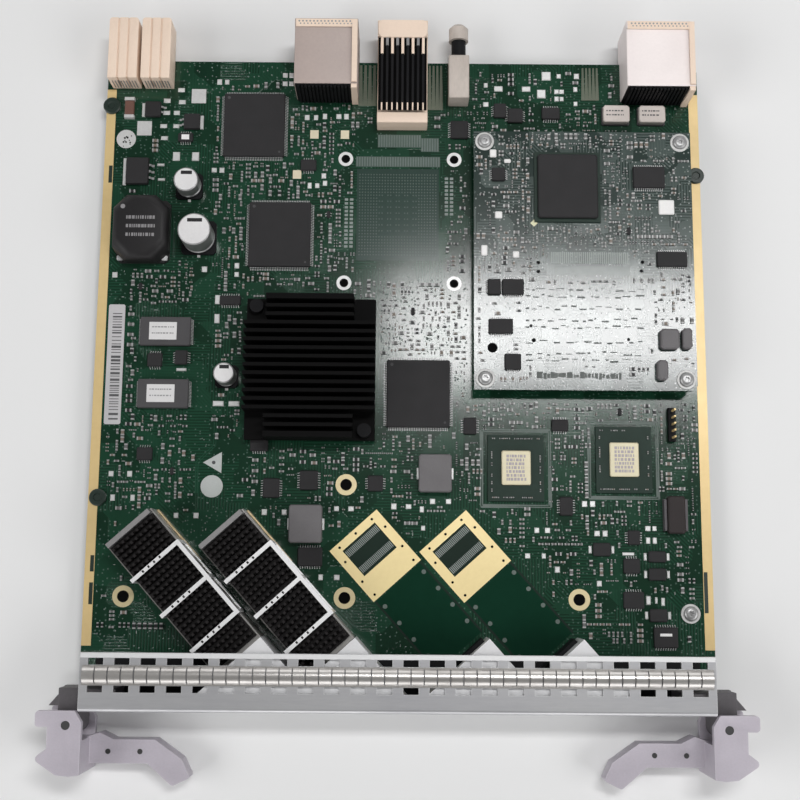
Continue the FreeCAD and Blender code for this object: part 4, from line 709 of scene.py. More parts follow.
oscillator_bases, oscillator_lids = heaps(2)
BASE_HEIGHT = 1.0
for low, high, middle, size in parts_of("oscillators"):
    brick(oscillator_bases, middle.x, middle.y, low.z, size.x, size.y, BASE_HEIGHT, cut=0.5)
    moulded(oscillator_lids, middle.x, middle.y, low.z + BASE_HEIGHT, size.x - 0.5, size.y - 0.5,
            size.z - BASE_HEIGHT, 0.8, 0.05, 0.25)
    print_bars(ink, middle.x - 0.6, middle.y + 0.3, high.z, 6.8, 2, 1.7, 0.55)
piece("oscillator_bases", oscillator_bases, epoxy_grey)
piece("oscillator_lids", oscillator_lids, oscillator_lid, stands_for=["oscillators"])

filter_body, filter_ends = heaps(2)
FILTER_END = 1.2
low, high = span("edge_filter")
middle, size = middle_and_size(low, high)
moulded(filter_body, middle.x, middle.y, low.z, size.x - 2 * FILTER_END, size.y, size.z, 0.6, 0.2, 0.4)
for side in (-1, 1):
    edge = middle.x + side * (size.x / 2 - FILTER_END / 2)
    brick(filter_ends, edge, middle.y, low.z, FILTER_END, size.y - 2.0, size.z - 1.4, draft=0.15, cut=0.3)
piece("filter_body", filter_body, filter_brown, stands_for=["edge_filter"])
piece("filter_ends", filter_ends, bracket_dark)

choke = Heap()
PLINTH = 1.4
low, high = span("power_choke")
middle, size = middle_and_size(low, high)
brick(choke, middle.x, middle.y, low.z, size.x - 0.4, size.y - 0.4, PLINTH, cut=1.6, draft=0.1)
rings = []
for inset, cut, z in ((0.5, 3.2, PLINTH), (0.0, 4.2, 2.2), (0.0, 5.0, size.z - 2.2), (0.5, 5.6, size.z - 0.9),
                      (1.4, 5.8, size.z - 0.2), (2.4, 5.8, size.z)):
    flat = outline(middle.x, middle.y, size.x - 2 * inset, size.y - 2 * inset, 0, cut)
    rings.append(raised(flat, low.z + z))
choke.loft(rings)
piece("choke_body", choke, choke_black, stands_for=["power_choke"], smooth=45)
print_bars(faint_print, middle.x + 0.5, middle.y - 0.2, high.z, 11.0, 3, 3.4, 1.3)
disc(faint_print, middle.x - 6.5, middle.y + 7.5, high.z, 0.9, INK_THICK, 20)
for side in (-1, 1):
    brick(tabs, middle.x + side * 8.6, low.y + 2.0, low.z + PLINTH, *CHOKE_TAB, draft=0.1, cut=0.3)

# Electrolytic cans on their chamfered bases.
can_bases, can_shells, can_tops, can_marks = heaps(4)
CAN_SIDES = 44
for low, high in solids("capacitor_cans"):
    middle, radius = (low + high) / 2, (high.x - low.x) / 2
    z, top = low.z, high.z
    base = 2 * radius + 0.8
    brick(can_bases, middle.x, middle.y, BOARD_TOP, base, base, z - BOARD_TOP, cut=1.1, draft=0.05)
    shell = ((radius - 0.3, z), (radius, z + 0.3), (radius, z + 1.1), (radius - 0.4, z + 1.5),
             (radius - 0.4, z + 1.8), (radius, z + 2.2), (radius, top - 0.7), (radius - 0.15, top - 0.3),
             (radius - 0.5, top - 0.1))
    turned(can_shells, middle.x, middle.y, shell, CAN_SIDES)
    lid = ((radius - 0.5, top - 0.12), (radius - 0.6, top), (radius - 0.9, top))
    turned(can_tops, middle.x, middle.y, lid, CAN_SIDES)
    brick(can_marks, middle.x + 0.2, middle.y + 0.55 * radius, top, 0.9 * radius, 1.4, INK_THICK)
    for side in (-1, 1):
        brick(tabs, middle.x, middle.y + side * (radius + 0.5), BOARD_TOP, *CAN_TAB, draft=0.05)
piece("can_bases", can_bases, moulding_black, stands_for=["capacitor_bases"])
piece("can_shells", can_shells, can_side_shaded, stands_for=["capacitor_cans"], smooth=40)
piece("can_tops", can_tops, can_top_lit, smooth=40)
piece("can_marks", can_marks, resistor_black)

# Small two-ended parts, used on both boards and on the optics substrates.
tan_bodies, grey_bodies, black_bodies, end_caps = heaps(4)
CHIP_KINDS = (tan_bodies, grey_bodies, grey_bodies, black_bodies)
CHIP_SIZES = ((1.0, 0.5, 0.4), (1.6, 0.8, 0.5), (1.6, 0.8, 0.6), (2.0, 1.25, 0.7))


def chip_part(heap, x, y, z, size, turn):
    """Small part with soldered end caps."""
    length, width, height = size
    c, s = math.cos(turn), math.sin(turn)
    brick(heap, x, y, z + 0.03, 0.6 * length, 0.94 * width, height, turn, 0.02)
    for side in (-1, 1):
        reach = side * 0.43 * length
        a, b = x + c * reach, y + s * reach
        brick(end_caps, a, b, z, 0.32 * length, 1.04 * width, height + 0.04, turn, 0.06)


# Lidded optics chips: a pale lid with a printed field, small capacitors round it and a double line on
# the board.
lids, lid_print, frames = heaps(3)
RIM, RIM_PITCH, RIM_PLACES, RIM_FILLED = 1.4, 1.4, 13, 0.62
FRAME_HALVES, FRAME_LINE = ((12.5, 13.9), (13.2, 14.6)), 0.36
for low, high, middle, size in parts_of("optics_lids"):
    moulded(lids, middle.x, middle.y, low.z, size.x, size.y, size.z, 0.5, 0.1, 0.25)
    print_bars(lid_print, middle.x, middle.y, high.z, 7.4, 7, 1.45, 1.05)
    for a, b in FRAME_HALVES:
        corners = outline(middle.x, middle.y, 2 * a, 2 * b)
        for k in range(4):
            track(frames, [corners[k - 1], corners[k]], FRAME_LINE, BOARD_TOP)
for low, high, middle, size in parts_of("optics_chips"):
    reach_x, reach_y = size.x / 2 - RIM, size.y / 2 - RIM
    for out in SIDES.values():
        turn = UPRIGHT if out[0] else 0.0
        for along in spread(RIM_PLACES, RIM_PITCH):
            if rng.random() < RIM_FILLED:
                x = middle.x + out[0] * reach_x + out[1] * along
                y = middle.y + out[1] * reach_y + out[0] * along
                chip_part(rng.choice(CHIP_KINDS), x, y, high.z, CHIP_SIZES[0], turn)
piece("optics_lid_plates", lids, gold_lid, stands_for=["optics_lids"])
piece("optics_lid_print", lid_print, mark_lilac)
piece("optics_frames", frames, land_dim)


# Pan-head screws with a star recess, on a washer face.
DOME = ((1.0, 0.0), (1.0, 0.25), (0.93, 0.62), (0.72, 0.92), (0.45, 1.0))
RECESS_LEVELS, STAR_POINTS, HEAD_SIDES = (0.98, 0.42), 6, 36


def pan_head(heap, x, y, z, radius, height):
    recess = 0.36 * radius
    rings = []
    for reach, level in DOME:
        rings.append(raised(circle(x, y, reach * radius, HEAD_SIDES), z + level * height))
    for level in RECESS_LEVELS:
        star = circle(x, y, recess * 0.8, HEAD_SIDES, STAR_POINTS, recess * 0.22)
        rings.append(raised(star, z + level * height))
    heap.loft(rings)


screws, screw_washers = heaps(2)
SHANK, WASHER, WASHER_THICK, HEAD, HEAD_HEIGHT, HEAD_AND_WASHER = 1.45, 3.6, 0.45, 2.75, 1.4, 1.9
for low, high, middle, size in parts_of("board_screws"):
    seat = high.z - HEAD_AND_WASHER
    over = seat + WASHER_THICK
    turned(screws, middle.x, middle.y, ((SHANK, low.z), (SHANK, seat)), 16)
    rim = ((WASHER, seat), (WASHER, over - 0.1), (WASHER - 0.1, over))
    turned(screw_washers, middle.x, middle.y, rim, HEAD_SIDES)
    pan_head(screws, middle.x, middle.y, over, HEAD, HEAD_HEIGHT)
piece("board_screw_heads", screws, steel_screw, stands_for=["board_screws"], smooth=45)
piece("board_screw_washers", screw_washers, washer_steel)

# Painted highlight: a bright strip along the rear edge of the flange, where its fold catches the light.
hem_highlight = Heap()
low, high = span("front_panel")
HEM_HIGHLIGHT_WIDTH = 1.7
brick(hem_highlight, 0.0, high.y - HEM_HIGHLIGHT_WIDTH / 2 - 0.1, high.z, high.x - low.x - 0.4, HEM_HIGHLIGHT_WIDTH, 0.12, draft=0.08)
piece("flange_hem_highlight", hem_highlight, clip_bright)

# Sprung contact strip with arched fingers between two rails.
fingers = Heap()
FINGERS, FINGER_GAP, FINGER_THICK, ARCH_STEPS, RAIL_WIDTH, RAIL_THICK = 48, 0.45, 0.22, 10, 0.8, 0.3
low, high = span("finger_strip")
crest, middle_y = high.z - 0.25, (low.y + high.y) / 2
half = (high.y - low.y) / 2
pitch = (high.x - low.x) / FINGERS
arch = []
reach = half - RAIL_WIDTH / 2
for step in range(ARCH_STEPS + 1):
    share = step / (ARCH_STEPS / 2) - 1
    arch.append((share * reach, low.z + (crest - low.z) * (1 - share * share) ** 0.8))
for k in range(FINGERS):
    bent(fingers, low.x + (k + 0.5) * pitch, middle_y, (0, 1), arch, pitch - FINGER_GAP, FINGER_THICK)
for side in (-1, 1):
    rail_y = middle_y + side * reach
    brick(fingers, (low.x + high.x) / 2, rail_y, low.z, high.x - low.x, RAIL_WIDTH, RAIL_THICK)
piece("contact_fingers", fingers, spring_bright, stands_for=["finger_strip"], smooth=40)


# Angled ports.
def port_place(site, along, across):
    """Point in a port's own frame: along its axis from the rear of the cage, and across it."""
    c, s = math.cos(PORT_TURN), math.sin(PORT_TURN)
    return site[0] + c * along - s * across, site[1] + s * along + c * across


def port_brick(heap, site, along, across, z, width, length, height, draft=0.0):
    x, y = port_place(site, along, across)
    brick(heap, x, y, z, width, length, height, PORT_TURN, draft)


PORTS = [(x, at(65.0)) for x in (-98.5, -65.0, -17.2, 16.3)]
COOLER_LENGTH, COOLER_WIDTH, COOLER_BASE, LIP_WIDTH = 60.3, 19.8, 1.4, 2.0
PIN_PITCH, PIN_WIDTH, PIN_ROWS, PIN_COLUMNS, FIRST_PIN = 2.2, 1.15, 9, 26, 3.6
CLIP_BARS, CLIP_NOTCHES = (16.6, 33.1, 49.6), (-5.6, -3.0, -0.4, 2.2)
SKIRT_ALONG, SKIRT_ACROSS, SKIRT_LENGTH, SKIRT_THICK, SKIRT_HEIGHT = 13.0, 10.95, 25.0, 0.6, 2.0
cooler_pins, cooler_lips, skirts, clip_notches = heaps(4)
clip_top = span("cage_clip_1")[1].z
low, high = span("cage_cooler_1")
pin_rise = high.z - low.z - COOLER_BASE
for site in PORTS[:2]:
    port_brick(cooler_pins, site, COOLER_LENGTH / 2, 0, low.z, COOLER_LENGTH, COOLER_WIDTH, COOLER_BASE)
    pin_foot = low.z + COOLER_BASE
    for across in spread(PIN_ROWS, PIN_PITCH):
        for column in range(PIN_COLUMNS):
            along = FIRST_PIN + PIN_PITCH * column
            port_brick(cooler_pins, site, along, across, pin_foot, PIN_WIDTH, PIN_WIDTH, pin_rise, 0.1)
    port_brick(cooler_lips, site, LIP_WIDTH / 2, 0, pin_foot, LIP_WIDTH, COOLER_WIDTH, pin_rise, 0.1)
    port_brick(skirts, site, SKIRT_ALONG, SKIRT_ACROSS, BOARD_TOP, SKIRT_LENGTH, SKIRT_THICK, SKIRT_HEIGHT)
    for along in CLIP_BARS:
        for across in CLIP_NOTCHES:
            port_brick(clip_notches, site, along, across, clip_top, 0.9, 0.7, 0.04)
piece("cooler_pins", cooler_pins, pin_black, stands_for=["cage_cooler_1", "cage_cooler_2"])
piece("cooler_lips", cooler_lips, lip_grey)
piece("cage_skirts", skirts, skirt_bronze)
piece("clip_notches", clip_notches, pin_black)

PAD_HOLES = ((1.6, -8.0), (1.6, 0.0), (1.6, 8.0), (7.0, 9.9), (7.0, -9.9), (16.6, 9.9), (16.6, -9.9),
             (23.2, 9.6), (23.2, -9.6))
FIELD_ALONG, FIELD_LENGTH, FIELD_WIDTH, FIELD_EDGE = 42.5, 34.0, 21.4, 0.8
WELL_ALONG, WELL_LENGTH, WELL_WIDTH, WELL_THICK = 9.4, 12.2, 15.8, 0.04
LAND_ROWS, LAND_PITCH, FIELD_DOTS, DOTS_ACROSS = (5.4, 13.2), 0.64, (29, 37, 45, 53), (-9.6, 9.6)
HOLE_LIFT = 0.12
port_fields, port_lands, port_dots, pad_holes, wells, field_edges = heaps(6)
for site in PORTS[2:]:
    port_brick(port_fields, site, FIELD_ALONG, 0, BOARD_TOP, FIELD_LENGTH, FIELD_WIDTH, COPPER_THICK)
    port_brick(wells, site, WELL_ALONG, 0, BOARD_TOP, WELL_LENGTH, WELL_WIDTH, WELL_THICK)
    for side in (-1, 1):
        edge = side * (FIELD_WIDTH / 2 + FIELD_EDGE / 2)
        port_brick(field_edges, site, FIELD_ALONG, edge, BOARD_TOP, FIELD_LENGTH, FIELD_EDGE, COPPER_THICK)
    for across in spread(24, LAND_PITCH):
        for along in LAND_ROWS:
            port_brick(port_lands, site, along, across, BOARD_TOP + WELL_THICK, 2.6, 0.36, 0.04)
    for along in FIELD_DOTS:
        for across in DOTS_ACROSS:
            x, y = port_place(site, along, across)
            disc(port_dots, x, y, BOARD_TOP + COPPER_THICK, 0.85, 0.04, 18)
    for along, across in PAD_HOLES:
        x, y = port_place(site, along, across)
        # Black discs for the holes: painted shade.
        disc(pad_holes, x, y, BOARD_TOP + HOLE_LIFT, 0.5, INK_THICK, 14)
piece("port_fields", port_fields, field_green)
piece("port_wells", wells, field_edge)
piece("port_field_edges", field_edges, field_edge)
piece("port_lands", port_lands, land_pale)
piece("port_dots", port_dots, land_dim)

# Free ground on the two boards.
LEAD_ROOM, FREE_REACH, FREE_NEAR, FREE_FAR = 2.6, 111.5, 24.5, 246.5
board_ground = Ground(-FREE_REACH, FREE_REACH, at(FREE_NEAR), at(FREE_FAR))
OFF_THE_BOARD = ("main_board", "edge_strips", "front_panel", "finger_strip", "mezzanine_board",
                 "board_screws", "mezzanine_chips", "core_cap", "core_substrate")
ANGLED = ("cage_1", "cage_2", "cage_cooler_1", "cage_cooler_2", "cage_clip_1", "cage_clip_2",
          "transceiver_1", "transceiver_2", "ground_pads", "module_sockets", "port_blanks",
          "port_bezel_left", "port_bezel_right")
for name in nodes:
    if name not in OFF_THE_BOARD + ANGLED:
        for low, high, middle, size in parts_of(name):
            board_ground.reserve(middle.x, middle.y, size.x + LEAD_ROOM, size.y + LEAD_ROOM)
for site in PORTS:
    for along in range(-3, 67):
        for across in range(-13, 14):
            board_ground.reserve(*port_place(site, along, across), 0.8, 0.8)
KEPT_CLEAR = (
    (69.3, 167.0, 86.0, 105.0), (-109.5, 127.0, 7.5, 48.0), (-69.5, 85.5, 12.0, 19.0),
    (-108.5, 217.5, 10.0, 10.0), (-0.5, 192.0, 34.0, 60.0), (-13.5, 240.5, 9.0, 20.0),
    (12.5, 240.0, 8.0, 20.0), (75.0, 242.0, 10.0, 16.0), (-75.5, 132.0, 7.5, 62.0),
    (108.0, 35.0, 10.0, 10.0), (-58.0, 250.0, 28.0, 16.0), (-106.0, 227.5, 6.0, 11.0),
    (-20.5, 184.0, 5.0, 22.0), (18.5, 195.0, 5.0, 17.5),
)
for x, depth, width, length in KEPT_CLEAR:
    board_ground.reserve(x, at(depth), width, length)

low, high = span("mezzanine_board")
daughter_ground = Ground(low.x + 1.5, high.x - 1.5, low.y + 1.5, high.y - 1.5)
for name in ("mezzanine_chips", "core_substrate", "board_screws"):
    for low, high, middle, size in parts_of(name):
        daughter_ground.reserve(middle.x, middle.y, size.x + 2.0, size.y + 2.0)

# Rings round the plated holes, gold and tinned lands, screen print, the long label and the edge inserts.
gold_lands, gold_rings, tin_lands, ring_lands, mount_holes, screen = heaps(6)
GOLD_LANDS, SQUARE_LANDS = ((-34.5, 220.0), (-22.5, 220.0), (-41.0, 203.5)), ((-80.5, 235.5), (-101.5, 222.0))
GOLD_RINGS = [(-102.0, 40.0), (-20.0, 40.0), (67.0, 40.0), (-20.0, 82.0)]
TIN_RINGS = [(x, depth) for x in (-22.0, 20.5) for depth in (160.0, 210.0)]
for places, heap, outer, inner in ((GOLD_RINGS, gold_rings, 4.0, 2.2), (TIN_RINGS, ring_lands, 2.9, 1.7)):
    for x, depth in places:
        washer(heap, x, at(depth), BOARD_TOP, outer, inner)
        # A black disc fills each ring's hole: painted shade.
        disc(mount_holes, x, at(depth), BOARD_TOP, inner, INK_THICK, 28)
        board_ground.reserve(x, at(depth), 2 * outer + 1.0, 2 * outer + 1.0)
for x, depth in GOLD_LANDS:
    brick(gold_lands, x, at(depth), BOARD_TOP, 3.3, 3.5, 0.05)
    board_ground.reserve(x, at(depth), 4.4, 4.6)
piece("gold_lands", gold_lands, gold_pale)
piece("gold_rings", gold_rings, gold_dull)
piece("tin_rings", ring_lands, tin_solder)
piece("pad_holes", pad_holes, recess_shade_black)

LAND_THICK = 0.06
for x, depth in SQUARE_LANDS:
    brick(tin_lands, x, at(depth), BOARD_TOP, 5.7, 5.9, LAND_THICK)
    board_ground.reserve(x, at(depth), 8.0, 8.0)
ROUND_LAND_X, ROUND_LAND_Y = -108.5, at(217.5)
disc(tin_lands, ROUND_LAND_X, ROUND_LAND_Y, BOARD_TOP, 3.8, LAND_THICK, 28)
for k in range(16):
    angle, reach = rng.uniform(0, math.tau), rng.uniform(0.4, 3.2)
    x, y = ROUND_LAND_X + reach * math.cos(angle), ROUND_LAND_Y + reach * math.sin(angle)
    disc(mount_holes, x, y, BOARD_TOP + LAND_THICK, rng.uniform(0.15, 0.4), INK_THICK, 10)

TRIANGLE_CORNERS = ((-74.0, 90.0), (-67.0, 86.0), (-67.0, 94.0))
TRIANGLE_DOT, ROUND_PRINT = (-70.0, at(90.0)), (-70.5, at(81.0))
triangle = [(x, at(depth)) for x, depth in TRIANGLE_CORNERS]
screen.loft([raised(triangle, BOARD_TOP), raised(triangle, BOARD_TOP + COPPER_THICK)])
disc(screen, *ROUND_PRINT, BOARD_TOP, 4.2, COPPER_THICK, 32)
disc(ink, *TRIANGLE_DOT, BOARD_TOP + COPPER_THICK, 0.7, INK_THICK, 16)

long_label = Heap()
LABEL_X, LABEL_DEPTH, LABEL_WIDTH, LABEL_LENGTH, LABEL_THICK = -109.0, 127.5, 6.3, 46.5, 0.1
BARS_NEAR, BARS_FAR, BAR_LENGTH = 106.0, 148.0, 3.6
brick(long_label, LABEL_X, at(LABEL_DEPTH), BOARD_TOP, LABEL_WIDTH, LABEL_LENGTH, LABEL_THICK, cut=0.5)
run = at(BARS_NEAR)
while run < at(BARS_FAR):
    thick = rng.choice((0.3, 0.3, 0.6, 0.9))
    brick(ink, LABEL_X + 0.3, run + thick / 2, BOARD_TOP + LABEL_THICK, BAR_LENGTH, thick, INK_THICK)
    run += thick + rng.choice((0.5, 0.8, 1.1))
piece("long_label", long_label, label_darker)

inserts = Heap()
ROUND_INSERTS = ((-114.5, 231.0, 3.4), (-113.0, 76.5, 3.2), (115.0, 204.0, 3.2))
LONG_INSERTS = ((-114.0, 203.0, 7.0), (-114.0, 52.0, 6.0), (-114.0, 41.0, 8.0), (114.0, 43.0, 15.0))
strip_top = span("edge_strips")[1].z
for x, depth, radius in ROUND_INSERTS:
    under, over = BOARD_UNDER - 0.6, strip_top
    profile = ((radius - 0.4, under), (radius, under + 0.3), (radius, over + 0.7), (radius - 0.4, over + 1.0),
               (1.6, over + 1.0), (1.3, over + 0.6))
    turned(inserts, x, at(depth), profile)
    board_ground.reserve(x, at(depth), 2 * radius + 1.0, 2 * radius + 1.0)
for x, depth, length in LONG_INSERTS:
    brick(inserts, x, at(depth), strip_top, 1.4, length, 0.05)
piece("edge_inserts", inserts, insert_green)

# Small packages, dark parts with a pad at either end, and the rust-coloured capacitor, where the photograph
# shows them: x, depth, width and length.
SMALL_CHIPS = (
    (86.5, 52.5, 6.2, 5.6), (87.5, 63.0, 4.6, 5.4), (87.0, 40.0, 7.8, 6.2), (98.5, 26.5, 9.0, 7.5),
    (-48.0, 80.5, 6.2, 7.4), (-34.0, 83.5, 6.9, 7.4), (-9.0, 82.5, 5.8, 6.0), (-33.0, 55.0, 9.2, 7.0),
    (-53.0, 96.5, 6.8, 4.4), (-96.0, 93.0, 6.0, 5.0), (-65.5, 152.5, 8.2, 3.8), (58.5, 229.0, 7.2, 5.0),
    (44.5, 228.0, 6.0, 6.0), (38.5, 230.0, 5.0, 6.0), (60.5, 105.0, 6.4, 4.6), (26.5, 104.5, 5.0, 6.4),
    (62.5, 74.5, 5.0, 7.0), (22.5, 222.0, 7.0, 7.4), (-36.5, 207.0, 6.2, 4.6), (-85.0, 218.0, 6.0, 3.6),
)
END_PADDED = ((75.5, 58.5, 6.6, 5.0), (96.0, 56.0, 6.6, 4.2), (96.0, 49.5, 6.6, 4.6), (96.0, 34.5, 6.6, 4.8))
RUST_X, RUST_DEPTH = -107.5, 230.0
chip_bodies, rust_body = heaps(2)
for x, depth, width, length in SMALL_CHIPS:
    board_package(chip_bodies, x, depth, width, length)
    board_ground.reserve(x, at(depth), width + LEAD_ROOM, length + LEAD_ROOM)
for x, depth, width, length in END_PADDED:
    moulded(chip_bodies, x, at(depth), BOARD_TOP, width, length, CHIP_HEIGHT)
    for side in (-1, 1):
        brick(tabs, x + side * (width / 2 + 0.9), at(depth), BOARD_TOP, 1.2, 2.8, 0.3, draft=0.2)
    board_ground.reserve(x, at(depth), width + 4.0, length + 1.6)
piece("small_chip_bodies", chip_bodies, epoxy_dark)
moulded(rust_body, RUST_X, at(RUST_DEPTH), BOARD_TOP, 3.8, 6.0, 1.6)
for side in (-1, 1):
    brick(tabs, RUST_X, at(RUST_DEPTH) + side * 3.6, BOARD_TOP, 4.0, 1.5, 1.7, draft=0.12)
piece("rust_capacitor", rust_body, ceramic_rust)

# Tinned pads at x, depth; bars have a width and a length as well.
BRIGHT_PADS = (
    (-73.5, 205.0), (-70.5, 205.0), (-72.5, 241.5), (-69.5, 241.5), (-46.5, 244.5), (-44.0, 244.5),
    (-46.5, 241.0), (-44.0, 241.0), (-110.5, 162.5), (-76.0, 165.0), (-63.5, 166.5), (-63.5, 163.0),
    (-23.5, 73.0), (-18.0, 73.0), (-2.0, 74.0), (3.5, 74.0), (8.5, 73.0), (9.0, 66.0), (12.5, 76.0),
    (18.5, 76.0), (51.5, 65.5), (55.5, 65.5), (48.0, 56.0), (54.0, 56.0), (59.0, 51.0), (69.5, 75.5),
    (72.5, 75.5), (74.0, 64.5), (77.0, 64.5), (93.0, 66.5), (95.5, 66.5), (93.0, 62.0), (95.5, 62.0),
    (74.5, 46.0), (-108.5, 85.5), (-101.5, 85.5), (-107.5, 76.5), (-100.0, 76.5), (-83.5, 70.0),
    (-76.0, 70.0), (-50.5, 71.5), (-43.0, 71.5), (-29.0, 47.5), (-23.0, 47.5), (33.0, 241.0), (62.0, 245.0),
    (69.0, 245.0), (33.0, 233.0), (68.5, 239.5), (68.5, 233.5), (61.0, 238.5), (63.0, 238.5), (61.0, 235.5),
    (63.0, 235.5), (-37.5, 227.0), (-34.0, 227.0), (-30.5, 227.5), (-25.0, 227.5), (-22.0, 227.5),
    (-30.5, 203.0), (-30.0, 200.0), (-36.0, 199.0), (-33.0, 199.0),
)
BRIGHT_BARS = (
    (-87.5, 238.0, 2.7, 1.7), (-87.0, 233.0, 2.7, 1.7), (-93.0, 233.5, 2.7, 1.8), (-93.0, 228.5, 2.7, 1.7),
    (-89.0, 228.5, 2.4, 1.7), (-94.0, 223.0, 2.7, 1.6), (-93.5, 218.0, 2.7, 1.6), (-89.0, 223.0, 2.4, 1.6),
    (-94.5, 207.0, 2.8, 1.1), (-94.0, 201.0, 2.8, 1.1), (-88.5, 210.5, 2.8, 3.6), (-81.0, 210.5, 2.8, 3.6),
    (-69.0, 112.5, 4.2, 2.0), (-63.0, 112.5, 4.2, 2.0), (-83.5, 125.5, 3.8, 1.2), (57.0, 245.0, 3.6, 3.6),
    (55.0, 237.5, 3.4, 3.6), (38.0, 239.5, 3.4, 2.2), (49.0, 239.5, 3.4, 2.2), (85.5, 57.0, 4.4, 1.2),
    (-70.5, 153.0, 2.0, 3.6), (-70.5, 145.5, 2.0, 3.6), (92.5, 40.0, 1.8, 3.2), (95.5, 40.0, 0.9, 2.4),
    (98.0, 39.5, 1.3, 3.0),
)
for x, depth in BRIGHT_PADS:
    width, length = rng.uniform(1.5, 2.1), rng.uniform(1.8, 2.4)
    brick(tin_lands, x, at(depth), BOARD_TOP, width, length, 0.25, draft=0.2)
    board_ground.reserve(x, at(depth), 2.8, 3.0)
for x, depth, width, length in BRIGHT_BARS:
    brick(tin_lands, x, at(depth), BOARD_TOP, width, length, 0.3, draft=0.25)
    board_ground.reserve(x, at(depth), width + 0.8, length + 0.8)
piece("tin_lands", tin_lands, tin_solder)

# Daughter board: lands of the stacking connectors, alignment holes, pale caps and a pin-one mark. Two pale
# bars lie on chips of the main board.
stack_lands, stack_field, daughter_marks, pale_caps = heaps(4)
STACK_X, STACK_DEPTH, STACK_WIDTH, STACK_PITCH, STACK_FIELD_DEPTH = 71.5, 168.0, 30.0, 0.8, 163.0
DAUGHTER_HOLES = (
    (52.0, 166.0, 0.7), (52.0, 162.5, 0.7), (91.5, 166.5, 0.7), (91.0, 163.0, 0.7), (49.0, 141.5, 0.6),
    (50.0, 136.0, 0.8), (85.5, 136.5, 0.6), (34.5, 133.0, 1.9),
)
PALE_CAPS = (
    (101.0, 188.0, 6.0, 5.8), (37.0, 184.5, 2.8, 2.8), (31.5, 170.5, 2.4, 4.2), (43.5, 169.0, 2.4, 2.6),
    (35.0, 209.0, 2.6, 3.2), (40.5, 206.0, 2.6, 1.6),
)
CHIP_BARS = ((98.5, 27.5, 4.4, 1.0), (-85.0, 218.0, 3.0, 2.0))
for along in spread(int(STACK_WIDTH / STACK_PITCH), STACK_PITCH):
    brick(stack_lands, STACK_X + along, at(STACK_DEPTH), DAUGHTER_TOP, 0.55, 4.4, LAND_THICK)
brick(stack_field, STACK_X + 1.0, at(STACK_FIELD_DEPTH), DAUGHTER_TOP, 28.5, 3.6, COPPER_THICK)
daughter_ground.reserve(STACK_X, at(166.0), STACK_WIDTH + 1.0, 11.0)
for x, depth, radius in DAUGHTER_HOLES:
    # Black discs for the holes: painted shade.
    disc(mount_holes, x, at(depth), DAUGHTER_TOP, radius, COPPER_THICK, 24)
    daughter_ground.reserve(x, at(depth), 2 * radius + 1.0, 2 * radius + 1.0)
for x, depth, width, length in PALE_CAPS:
    moulded(pale_caps, x, at(depth), DAUGHTER_TOP, width, length, 0.9)
    daughter_ground.reserve(x, at(depth), width + 1.0, length + 1.0)
PIN_ONE_X, PIN_ONE_DEPTH = 50.5, 181.5
brick(daughter_marks, PIN_ONE_X, at(PIN_ONE_DEPTH), DAUGHTER_TOP, 2.0, 2.0, 0.04, math.pi / 4)
daughter_ground.reserve(PIN_ONE_X, at(PIN_ONE_DEPTH), 3.0, 3.0)
for x, depth, width, length in CHIP_BARS:
    brick(pale_caps, x, at(depth), BOARD_TOP + CHIP_HEIGHT, width, length, 0.1)

# Rows of dim print where the lamp is mirrored, and the lumps of the front stacking socket's lands.
daughter_rows = Heap()
ROW_DEPTHS, ROW_LEFT, ROW_RIGHT = (155.5, 153.0, 148.5, 144.0, 141.0, 135.5, 131.0, 128.5), 47.0, 90.0
LUMP_DEPTH, LUMP_LEFT, LUMP_RIGHT = 122.5, 51.0, 82.0
for depth in ROW_DEPTHS:
    x = ROW_LEFT
    while x < ROW_RIGHT:
        run, thick = rng.uniform(0.6, 3.4), rng.uniform(0.25, 0.7)
        y = at(depth) + rng.uniform(-0.7, 0.7)
        brick(daughter_rows, x + run / 2, y, DAUGHTER_TOP, run, thick, INK_THICK)
        x += run + rng.uniform(0.3, 2.6)
x = LUMP_LEFT
while x < LUMP_RIGHT:
    run, thick = rng.uniform(0.7, 2.2), rng.uniform(1.2, 2.6)
    y = at(LUMP_DEPTH) + rng.uniform(-0.3, 0.3)
    brick(daughter_rows, x + run / 2, y, DAUGHTER_TOP, run, thick, 0.05)
    x += run + rng.uniform(0.05, 0.5)
daughter_ground.reserve(67.0, at(LUMP_DEPTH), 34.0, 5.0)
daughter_ground.reserve(69.0, at(142.0), 46.0, 30.0)
piece("daughter_rows", daughter_rows, screen_dim)
piece("stack_lands", stack_lands, land_pale)
piece("stack_field", stack_field, site_green)
piece("daughter_marks", daughter_marks, mark_yellow)
piece("pale_caps", pale_caps, cap_white)
piece("mount_holes", mount_holes, recess_shade_black)

# Crowds of small parts, given as left, right, near and far edges and how many rows of parts each holds.
BOARD_CROWDS = (
    (-104, -81, 151, 164, 140), (-103, -82, 101, 109, 40), (-104, -100, 112, 143, 24),
    (-72, -60, 137, 156, 60), (-112, -82, 71, 99, 110), (-111, -97, 26, 60, 14), (-71, -60, 99, 137, 24),
    (-73, -24, 157, 216, 420), (-73, 26, 215, 247, 320), (-26, 27, 130, 160, 260), (-27, -18, 160, 212, 40),
    (17, 27, 160, 212, 60), (-60, -8, 64, 98, 130), (-8, 28, 62, 130, 170), (28, 112, 92, 116, 300),
    (20, 112, 58, 92, 140), (50, 112, 25, 58, 70), (-60, -8, 40, 66, 36), (28, 84, 221, 232, 90),
    (30, 84, 232, 248, 70), (-112, -96, 166, 203, 14),
)
DAUGHTER_CROWDS = (
    (28, 88, 157, 218, 440), (88, 111, 157, 218, 60), (45, 82, 174, 217, 420), (28, 111, 117, 158, 160),
)
THREE_LEGGED_SHARE, UPRIGHT_SHARE, STACKED_SHARE = 0.07, 0.5, 0.6
